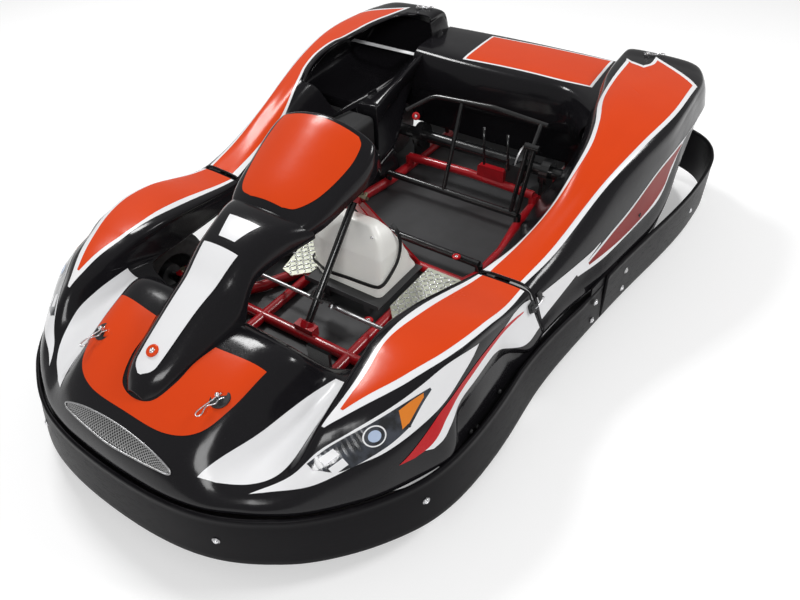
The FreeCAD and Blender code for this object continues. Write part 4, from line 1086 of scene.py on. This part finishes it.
def belt_apron():
    """A dark lip inside the belt, from the nose back to the sills, narrow at its ends: a sheet of painted
    shade in rubber finish that keeps the pale floor from showing between body, tyres and belt.
    """
    path = belt_path(900)
    run = belt_run(path, path[:, 1] < 0.250)
    out = belt_out(run)
    width = np.interp(run[:, 1], [-0.75, -0.66, 0.0, 0.25], [0.045, 0.030, 0.030, 0.003])
    share = np.linspace(0, 1, 7)
    reach = 0.006 + FRONT_BELT_LEAN * 0.6 + width[:, None] * share[None]
    points = run[:, None] - out[:, None] * reach[..., None]
    points[..., 2] = 0.146 - 0.012 * share[None] ** 2
    piece = grid_piece("belt_apron", "chassis", FINISH["rubber"], points, flip=True)
    thicken(piece, 0.003, -1.0)
    return piece


ARCH_EDGE = [(536, -606, 170), (541, -575, 172), (541, -548, 190), (524, -518, 222), (525, -450, 250),
             (524, -370, 246), (524, -300, 216), (538, -262, 190), (547, -240, 174), (547, -180, 172)]


def arch_flaps():
    """The black panel below each front arch, from the shell's edge straight down inside the belt."""
    edge = through(placed(ARCH_EDGE), 90)
    foot = edge.copy()
    foot[:, 0] = here(545, 0, 0)[0]
    foot[:, 2] = 0.118
    share = np.linspace(0, 1, 18)[None, :, None]
    points = edge[:, None] * (1 - share) + foot[:, None] * share
    points[..., 0] += 0.010 * np.sin(np.pi * share[..., 0])
    for side, line in (("left", points), ("right", mirrored(points))):
        thicken(grid_piece(side + "_arch_flap", "chassis", FINISH["body"], line,
                           flip=side == "left"), 0.003, 0.0)
    heads = [button_head(here(side * x, y, z), (side, 0, 0), 0.005) for side in (1, -1)
             for x, y, z in ((551, -500, 168), (550, -470, 152), (552, -380, 176))]
    made_of("arch_screws", "rubber", heads)


def deck_gussets():
    """An upright black sheet on each side that closes the gap between the rear deck and the pod."""
    across = np.linspace(292, 372, 10)[:, None]
    up = np.linspace(150, 330, 12)[None, :]
    x, z = np.broadcast_arrays(across, up)
    points = placed(np.stack([x, 640 + 0.10 * (x - 292), z], axis=-1))
    for side, grid in (("left", points), ("right", mirrored(points))):
        thicken(grid_piece(side + "_deck_gusset", "chassis", FINISH["body"], grid,
                           flip=side == "right"), 0.003, 0.0)


def pod_skirts():
    """Black sheets that close the side of the cockpit between each pod's foot and the floor tray."""
    net = pod_net()
    along = np.linspace(-0.150, 0.440, 60)
    foot = np.array([np.interp(along, net[:, 0, 1], net[:, -1, k]) for k in range(3)]).T
    share = np.linspace(0, 1, 6)[None, :, None]
    low = foot * [0.0, 1.0, 0.0] + here(258, 0, 54)
    points = foot[:, None] * (1 - share) + low[:, None] * share
    for side, line in (("left", points), ("right", mirrored(points))):
        thicken(grid_piece(side + "_pod_skirt", "chassis", FINISH["body"], line), 0.003, 0.0)


BELLY = [(-640, 176), (-600, 250), (-560, 316), (-470, 322), (-180, 322), (0, 334), (440, 334), (470, 395),
         (880, 395), (905, 330)]


def shade_belly_sheet():
    """The dark undertray below the floor, a sheet of painted shade that darkens what shows through the
    frame: a flat sheet with shallow ribs along it.
    """
    spots = np.array(BELLY, float)
    y = np.linspace(spots[0, 0], spots[-1, 0], 160)
    half = np.interp(y, spots[:, 0], spots[:, 1])
    share = np.linspace(-1, 1, 90)
    points = np.stack([half[:, None] * share[None], np.broadcast_to(y[:, None], (160, 90)),
                       34 + 1.6 * np.cos(half[:, None] * share[None] / 14)], axis=-1)
    thicken(grid_piece("shade_belly_sheet", "chassis", FINISH["tray"], placed(points)), 0.002)


# ---- tyres ----


def tyre(node, body, bead_radius, shoulder):
    """A tyre turned about its axle: rounded tread, bulged wall, a rolled bead and an open inside."""
    low, high = span(node)
    middle = (low + high) / 2
    radius = (high[2] - low[2]) / 2
    half = (high[0] - low[0]) / 2
    tread = half - shoulder
    section = [
        (-half * 0.60, bead_radius * 0.985), (-half * 0.86, bead_radius * 0.98),
        (-half * 0.93, bead_radius + 0.002), (-half * 0.985, bead_radius + 0.012),
        (-half, 0.5 * (radius + bead_radius)),
        (-half * 0.975, radius - shoulder * 0.62), (-tread * 0.985, radius - shoulder * 0.12),
        (-tread * 0.8, radius - 0.0012), (0.0, radius),
    ]
    section += [(-along, r) for along, r in section[-2::-1]]
    line = through(section, 72)
    inside = [(half * 0.58, bead_radius + 0.004), (half * 0.4, bead_radius + 0.006),
              (0.0, bead_radius + 0.006), (-half * 0.4, bead_radius + 0.006),
              (-half * 0.58, bead_radius + 0.004)]
    line = np.vstack([line, inside])
    points = turned_points(line, middle, (1.0, 0.0, 0.0), 128)
    piece = grid_piece(node + "_rubber", body, FINISH["tyre"], points, wrap_rows=True,
                       wrap_columns=True)
    outward(piece)
    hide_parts(node)
    return piece


def tyres():
    for side in ("left", "right"):
        tyre(side + "_front_tyre", side + "_front_wheel", 0.068, 0.024)
        tyre(side + "_rear_tyre", "rear_wheels", 0.068, 0.028)


# ---- small parts ----


def made_of(name, finish, parts, body="chassis"):
    """One piece from several closed (vertices, faces) lists."""
    vertices, faces = joined_pieces(parts)
    return outward(new_piece(name, body, FINISH[finish], vertices, faces))


def band_points(path, width, thick, up, sides=16):
    """A flat section with rounded corners (a superellipse) carried along a path, its flat side facing up."""
    p = np.asarray(path, float)
    way = np.gradient(p, axis=0)
    way /= np.linalg.norm(way, axis=1, keepdims=True)
    over = np.cross(way, np.asarray(up, float))
    over /= np.linalg.norm(over, axis=1, keepdims=True)
    high = np.cross(over, way)
    turn = np.linspace(0, 2 * np.pi, sides, endpoint=False)
    flat = np.sign(np.cos(turn)) * np.abs(np.cos(turn)) ** 0.4 * width / 2
    tall = np.sign(np.sin(turn)) * np.abs(np.sin(turn)) ** 0.4 * thick / 2
    return p[:, None] + over[:, None] * flat[None, :, None] + high[:, None] * tall[None, :, None]


def band(path, width, thick, up, sides=16):
    return closed_grid(band_points(path, width, thick, up, sides))


def rod(path, radius, sides=12):
    return closed_grid(tube_points(path, radius, sides))


def turned(profile, centre, axis, sides=28):
    return closed_grid(turned_points(profile, centre, axis, sides))


def button_head(seat, axis, radius):
    """A domed screw head with a round socket in its middle."""
    r = radius
    profile = [(-0.002, r), (r * 0.10, r), (r * 0.40, r * 0.86), (r * 0.56, r * 0.58), (r * 0.58, r * 0.42),
               (r * 0.50, r * 0.38), (r * 0.22, r * 0.36)]
    return turned(profile, seat, axis, 24)


def ring(seat, axis, inner, outer, height):
    """A flat washer: a rounded ring section turned about its axis."""
    profile = np.array([(0, inner), (0, outer), (height * 0.7, outer), (height, outer - height * 0.4),
                        (height, inner + height * 0.3), (height * 0.7, inner)])
    points = turned_points(profile, seat, axis, 36)
    return points.reshape(-1, 3), grid_faces(len(profile), 36, True, True).tolist()


def here(x, y, z):
    return placed([(x, y, z)])[0]


CLIP = [(-8, 0), (4, 0), (18, 0), (34, 0), (46, 1), (52, 5), (50, 11), (42, 12), (34, 7), (26, 4), (18, 8),
        (11, 11), (4, 8), (-2, 9), (-8, 12)]


def spring_clip(seat, normal, way, size=1.0):
    """A bent wire clip: its drawn outline laid in the plane of a way and the direction across it."""
    normal = np.asarray(normal, float) / np.linalg.norm(normal)
    way = np.asarray(way, float) - normal * np.dot(way, normal)
    way /= np.linalg.norm(way)
    over = np.cross(normal, way)
    flat = through(np.array(CLIP, float) * MM * size, 90)
    return rod(seat + flat[:, :1] * way + flat[:, 1:] * over, 1.4 * MM * size, 8)


def body_pins():
    """The nose's and the pods' body pins: a dished cap, a pin with a clip through it."""
    caps = []
    pins = []
    seats = [((168, -790, 313), (0.0, -0.27, 0.96), (-0.35, -1.0, 0.0)),
             ((-168, -790, 313), (0.0, -0.27, 0.96), (-0.35, -1.0, 0.0)),
             ((405, 790, 459), (0.0, 0.0, 1.0), (1.0, 0.5, 0.0)),
             ((-405, 790, 459), (0.0, 0.0, 1.0), (1.0, 0.5, 0.0))]
    cap = [(0.0, 0.0215), (0.0022, 0.0210), (0.0034, 0.0185), (0.0024, 0.0135), (0.0030, 0.0075)]
    pin = [(-0.002, 0.0048), (0.016, 0.0048), (0.0185, 0.0036), (0.0195, 0.0012)]
    for spot, normal, way in seats:
        seat = here(*spot)
        axis = np.array(normal)
        caps.append(turned(cap, seat, axis, 40))
        pins.append(turned(pin, seat, axis, 20))
        pins.append(spring_clip(seat + axis * 0.011, axis, way))
    made_of("body_pin_caps", "rubber", caps)
    made_of("body_pins", "bright", pins)


def seam_latches():
    """A toggle latch over each seam between the nose and a pod: two hooks, a lever and its pin."""
    black = []
    shiny = []
    for side in (1, -1):
        turn = np.array([side, 1, 1])
        low = here(523, -204, 262) * turn
        high = here(523, -146, 268) * turn
        out = np.array([side * 1.0, 0.0, 0.25])
        line = np.linspace(low, high, 12) + out * 0.004
        black.append(band(line[:5], 0.024, 0.006, out))
        black.append(band(line[8:], 0.024, 0.006, out))
        lever = np.linspace(low + out * 0.009, high + out * 0.011, 14)
        lever += out * 0.006 * np.sin(np.linspace(0, np.pi, 14))[:, None]
        shiny.append(rod(lever[2:12], 0.0028, 10))
        black.append(band(lever[:5], 0.016, 0.005, out))
        middle = (low + high) / 2 + np.array([0, 0, -0.052])
        ends = [middle + [side * 0.013, along, -0.004] for along in (-0.03, 0.03)]
        black.append(band(np.linspace(*ends, 8), 0.020, 0.006, out))
        for along in (-0.018, 0.018):
            shiny.append(button_head(middle + [side * 0.016, along, -0.004], (side, 0, 0), 0.0042))
    made_of("seam_latches", "rubber", black)
    made_of("latch_pins", "bright", shiny)


def spine_screw():
    seat = here(0, -794, 352)
    axis = (0.0, -0.42, 0.91)
    made_of("spine_screw_washer", "orange", [ring(seat, axis, 0.0055, 0.0135, 0.0028)])
    head = button_head(seat + np.array(axis) * 0.0012, axis, 0.0062)
    made_of("spine_screw", "bright", [head])


GRILLE_TOP = whole([(-150, -924, 234), (-103, -918, 247), (-49, -915, 254), (0, -914, 256)])
GRILLE_FOOT = whole([(-151, -929, 225), (-128, -934, 226), (-77, -940, 227), (0, -945, 227)])


def grille(front):
    """A fine mesh in a shallow rounded surround on the front of the nose."""
    top = [(x, y) for x, y, z in GRILLE_TOP]
    foot = [(x, y) for x, y, z in GRILLE_FOOT]
    sheet("nose_grille", front, "body_black", "mesh", "down", top, foot, UNDER, both=False)
    loop = through(placed(GRILLE_TOP + GRILLE_FOOT[::-1]), 160, closed=True)
    loop += np.array([0.0, -0.0012, 0.0012])
    bead("grille_surround", loop, 1.7 * MM, finish="steel", closed=True)


def rounded_ring(corners, soft, count):
    """A closed outline at even steps whose corners are rounded by a running mean over the soft length."""
    p = np.asarray(corners, float)
    steps = 720
    line = even_steps(np.vstack([p, p[:1]]), steps, closed=True)
    length = np.linalg.norm(np.roll(line, -1, axis=0) - line, axis=1).sum()
    window = max(3, int(steps * soft / length) | 1)
    wide = np.vstack([line[-window:], line, line[:window]])
    smooth = np.stack([np.convolve(wide[:, k], np.ones(window) / window, "same") for k in range(3)], axis=1)
    smooth = smooth[window:-window]
    return even_steps(np.vstack([smooth, smooth[:1]]), count, closed=True)


TANK_LEVELS = [
    (79, -132, 88, -176, -16, 0.9), (80, -145, 99, -186, -5, 1.0), (92, -147, 101, -187, -10, 1.0),
    (150, -149, 104, -187, -44, 1.0), (196, -147, 105, -184, -70, 1.0), (212, -143, 103, -182, -79, 1.0),
    (254, -108, 93, -170, -103, 0.8), (276, -64, 74, -161, -115, 0.5), (285, -46, 64, -157, -121, 0.4),
    (287, -34, 54, -151, -127, 0.3),
]


def tank():
    """Moulded tank: rounded outlines at several heights, smoothed from one to the next."""
    net = []
    for z, right, left, front, rear, cut in TANK_LEVELS:
        bevel = 56 * cut
        corners = [(left, front, z), (right + bevel, front, z), (right, front + bevel * 0.5, z),
                   (right, rear, z), (left, rear, z)]
        net.append(rounded_ring(placed(corners), 0.034, 96))
    net = np.array(net)
    down = kernel_weights(len(net), np.linspace(0, 1, 64), 0.3)
    points = np.einsum("ri,ijk->rjk", down, net)
    piece = made_of("tank_moulding", "tank", [closed_grid(points)])
    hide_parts("fuel_tank")
    made_of("tank_screws", "bright",
            [button_head(here(70, -168, 262), (0.3, -0.6, 0.6), 0.004),
             button_head(here(66, -150, 272), (0.3, -0.5, 0.7), 0.004)])


def tank_belt():
    """The strap: a flat band down the tank's left side and round its front, a little off the wall."""
    path = [(84, -100, 268), (99, -98, 252), (109, -98, 214), (111, -116, 170), (110, -160, 140),
            (104, -186, 128), (80, -192, 122), (0, -192, 116), (-70, -192, 110), (-110, -178, 106),
            (-150, -158, 104),
            (-152, -100, 104), (-152, -30, 104)]
    line = through(placed(path), 140)
    out = line - here(-20, -90, 0)
    out[:, 2] = 0.0
    out /= np.linalg.norm(out, axis=1, keepdims=True)
    up = np.cross(np.gradient(line, axis=0), np.cross(out, np.gradient(line, axis=0)))
    piece = made_of("tank_belt", "rubber", [band(line, 0.011, 0.004, up)])
    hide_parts("tank_strap")


PLATE = [(134, -190), (172, -232), (214, -222), (250, -60), (240, 2), (134, 2)]


def inside(outline, spots):
    """Which plan spots lie in a polygon: an odd count of its edges lies to their right."""
    a = np.asarray(outline, float)
    b = np.roll(a, -1, axis=0)
    x, y = spots[:, :1], spots[:, 1:]
    spans = (a[:, 1] > y) != (b[:, 1] > y)
    rise = np.where(b[:, 1] == a[:, 1], 1.0, b[:, 1] - a[:, 1])
    crossing = a[:, 0] + (y - a[:, 1]) / rise * (b[:, 0] - a[:, 0])
    return (spans & (x < crossing)).sum(axis=1) % 2 == 1


def tread():
    """Raised bars on the foot plates: low half-round domes, turned one way and the other in turn."""
    top = span("foot_trays")[1][2]
    pitch = 14.0
    i, j = np.meshgrid(np.arange(8, 20), np.arange(-18, 3))
    spots = np.stack([i.ravel() * pitch, j.ravel() * pitch], axis=1)
    keep = inside(PLATE, spots) & inside(PLATE, spots + [4, 4]) & inside(PLATE, spots - [4, 4])
    keep &= inside(PLATE, spots + [4, -4]) & inside(PLATE, spots + [-4, 4])
    flip = ((i + j) % 2).ravel()[keep]
    spots = placed(np.column_stack([spots[keep], np.zeros(keep.sum())]))
    spots[:, 2] = top - 0.1 * MM
    angle = np.where(flip == 1, math.radians(45), math.radians(-45))
    t = np.linspace(0, 2 * np.pi, 10, endpoint=False)
    levels = np.array([(1.0, 0.0), (0.86, 0.0016), (0.45, 0.0024)])
    long = np.cos(t)[None] * 0.0085 * levels[:, :1]
    wide = np.sin(t)[None] * 0.0028 * levels[:, :1]
    rise = np.broadcast_to(levels[:, 1:], long.shape)
    c, s = np.cos(angle)[:, None, None], np.sin(angle)[:, None, None]
    rise = np.broadcast_to(rise, (len(angle),) + rise.shape)
    domes = np.stack([long * c - wide * s, long * s + wide * c, rise], axis=-1)
    domes = domes + spots[:, None, None]
    parts = []
    for turned_side in (domes, mirrored(domes)):
        parts += [closed_grid(dome) for dome in turned_side]
    made_of("plate_tread", "bright", parts)


def belt_screws():
    """Screw heads on the belt and its joint plates, square to the belt's outline."""
    path = belt_path(900)
    out = belt_out(path)
    heads = []
    washers = []
    for x, y, z in ((262, -953, 116), (556, -666, 124), (603, 26, 150), (603, 26, 90), (624, 187, 150),
                    (624, 187, 90), (677, 600, 120), (590, 932, 120), (200, 991, 120)):
        for side in (1, -1):
            seat = here(side * x, y, z)
            near = np.argmin(np.linalg.norm(path[:, :2] - seat[:2], axis=1))
            seat[:2] = path[near, :2]
            if y < 0:
                seat[:2] -= out[near, :2] * FRONT_BELT_LEAN * (seat[2] - BELT_LOW[2]) / FRONT_BELT_HEIGHT
            heads.append(button_head(seat + out[near] * 0.0012, out[near], 0.0058))
            washers.append(ring(seat - out[near] * 0.0005, out[near], 0.004, 0.0085, 0.0018))
    made_of("belt_screws", "bright", heads)
    made_of("belt_washers", "steel", washers)


def red_washers():
    seats = [((193, 55, 104), (0, 0, 1)), ((-163, 400, 292), (0.4, -0.8, 0.3)), ((120, -268, 78), (0, 0, 1))]
    parts = [ring(here(*seat), axis, 0.005, 0.0125, 0.005) for seat, axis in seats]
    made_of("red_washers", "red", parts)
    made_of("washer_screws", "bright",
            [button_head(here(*seat) + np.array(axis, float) * 0.002, axis, 0.0058) for seat, axis in seats])


def stay_rods():
    """Two upright rods behind the seat's place."""
    rods = [rod(placed([(58, 440, 296), (66, 440, 170)]), 0.004),
            rod(placed([(139, 440, 292), (150, 440, 175)]), 0.004)]
    made_of("upright_rods", "bar", rods)


def body_posts():
    """The posts under the shells, each ending just below its shell."""
    posts = []
    for foot, top in (((203, -690, 62), (203, -690, 322)), ((590, 290, 96), (598, 290, 262)),
                      ((236, 720, 72), (236, 720, 378)), ((374, -146, 96), (379, -146, 268))):
        line = np.linspace(placed(foot), placed(top), 8)
        posts += [rod(line, 0.008), rod(mirrored(line), 0.008)]
    piece = made_of("body_posts", "bar", posts)
    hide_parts("body_brackets")


BAY_LINER = [
    (368, [(-294, 150), (-296, 152), (-310, 154), (-380, 154), (-480, 154), (-585, 154), (-598, 156)]),
    (371, [(-292, 240), (-296, 280), (-310, 288), (-380, 284), (-480, 284), (-585, 288), (-602, 300)]),
    (392, [(-292, 250), (-296, 292), (-310, 302), (-380, 293), (-480, 293), (-587, 297), (-604, 318)]),
    (440, [(-300, 262), (-292, 312), (-308, 324), (-380, 294), (-480, 294), (-590, 300), (-606, 340)]),
    (500, [(-306, 272), (-284, 336), (-298, 348), (-376, 298), (-480, 296), (-592, 304), (-606, 362)]),
    (560, [(-318, 286), (-288, 350), (-302, 361), (-378, 304), (-480, 298), (-590, 312), (-602, 385)]),
    (650, [(-322, 300), (-294, 366), (-308, 376), (-382, 314), (-480, 306), (-585, 322), (-598, 392)]),
    (720, [(-326, 330), (-298, 378), (-312, 387), (-388, 334), (-480, 326), (-575, 338), (-592, 395)]),
    (775, [(-326, 350), (-302, 384), (-318, 396), (-400, 376), (-480, 369), (-560, 378), (-580, 400)]),
    (806, [(-326, 372), (-308, 388), (-330, 412), (-400, 424), (-480, 424), (-550, 418), (-566, 408)]),
]


def bay_liner():
    """The moulded tub behind the engine, over the right rear wheel, with a ridge towards the cockpit."""
    net = placed([[(x, y, z) for x, z in rib] for y, rib in BAY_LINER])
    points = net_surface(net, 90, 60, 0.25)
    piece = grid_piece("bay_liner", "chassis", FINISH["body"], points, flip=True)
    thicken(piece, SHELL_WALL)


# ---- camera, floor and lights ----

VIEW_AZIMUTH = 35.01
VIEW_ELEVATION = 41.26
VIEW_ROLL = -1.76
VIEW_DISTANCE = 2.144
VIEW_TARGET = (0.0246, 0.0131, -0.1041)
LENS = 31.45


def set_camera():
    a, e, roll = (math.radians(v) for v in (VIEW_AZIMUTH, VIEW_ELEVATION, VIEW_ROLL))
    back = np.array([math.sin(a) * math.cos(e), -math.cos(a) * math.cos(e), math.sin(e)])
    right = np.array([math.cos(a), math.sin(a), 0.0])
    up = np.cross(back, right)
    turned_right = math.cos(roll) * right + math.sin(roll) * up
    turned_up = np.cross(back, turned_right)
    seat = np.array(VIEW_TARGET) + back * VIEW_DISTANCE
    camera = bpy.data.cameras.new("camera")
    camera.lens = LENS
    camera.sensor_width = 36.0
    camera.clip_end = 60.0
    holder = bpy.data.objects.new("camera", camera)
    bpy.context.scene.collection.objects.link(holder)
    holder.matrix_world = Matrix([[turned_right[i], turned_up[i], back[i], seat[i]] for i in range(3)]
                                 + [[0, 0, 0, 1]])
    bpy.context.scene.camera = holder


def set_floor():
    """A floor far wider than the kart, under the lowest tyre."""
    reach = 12.0
    corners = [(-reach, -reach, 0.0), (reach, -reach, 0.0), (reach, reach, 0.0), (-reach, reach, 0.0)]
    mesh = bpy.data.meshes.new("floor")
    mesh.from_pydata(corners, [], [(0, 1, 2, 3)])
    mesh.materials.append(FINISH["floor"])
    floor = bpy.data.objects.new("floor", mesh)
    bpy.context.scene.collection.objects.link(floor)


def area_light(name, seat, aim, width, depth, watts):
    lamp = bpy.data.lights.new(name, "AREA")
    lamp.shape = "RECTANGLE"
    lamp.size = width
    lamp.size_y = depth
    lamp.energy = watts
    holder = bpy.data.objects.new(name, lamp)
    bpy.context.scene.collection.objects.link(holder)
    holder.location = seat
    holder.rotation_euler = (Vector(aim) - Vector(seat)).to_track_quat("-Z", "Y").to_euler()


def set_lights():
    world = bpy.data.worlds.new("studio")
    world.use_nodes = True
    glow = world.node_tree.nodes["Background"]
    glow.inputs["Color"].default_value = (1.0, 1.0, 1.0, 1.0)
    glow.inputs["Strength"].default_value = 0.34
    bpy.context.scene.world = world
    area_light("key", (-2.2, 0.6, 3.4), (0, 0, 0.2), 1.1, 0.7, 78.0)
    area_light("fill", (2.6, 1.8, 3.0), (0, 0, 0.2), 1.0, 0.7, 55.0)
    area_light("front", (1.4, -3.2, 2.6), (0, -0.3, 0.2), 1.4, 0.9, 52.0)
    bpy.context.scene.view_settings.view_transform = "Standard"


# ---- making it all ----

set_camera()
printed_sheets(front_shell(), side_pods(), spine_shell(), dash_shell(), deck_shell())
grille(bpy.data.objects["front_body_shell"])
bay_liner()
belt_pieces()
belt_apron()
belt_screws()
arch_flaps()
deck_gussets()
pod_skirts()
shade_belly_sheet()
tyres()
tank()
tank_belt()
tread()
body_pins()
seam_latches()
spine_screw()
red_washers()
stay_rods()
body_posts()
set_floor()
set_lights()
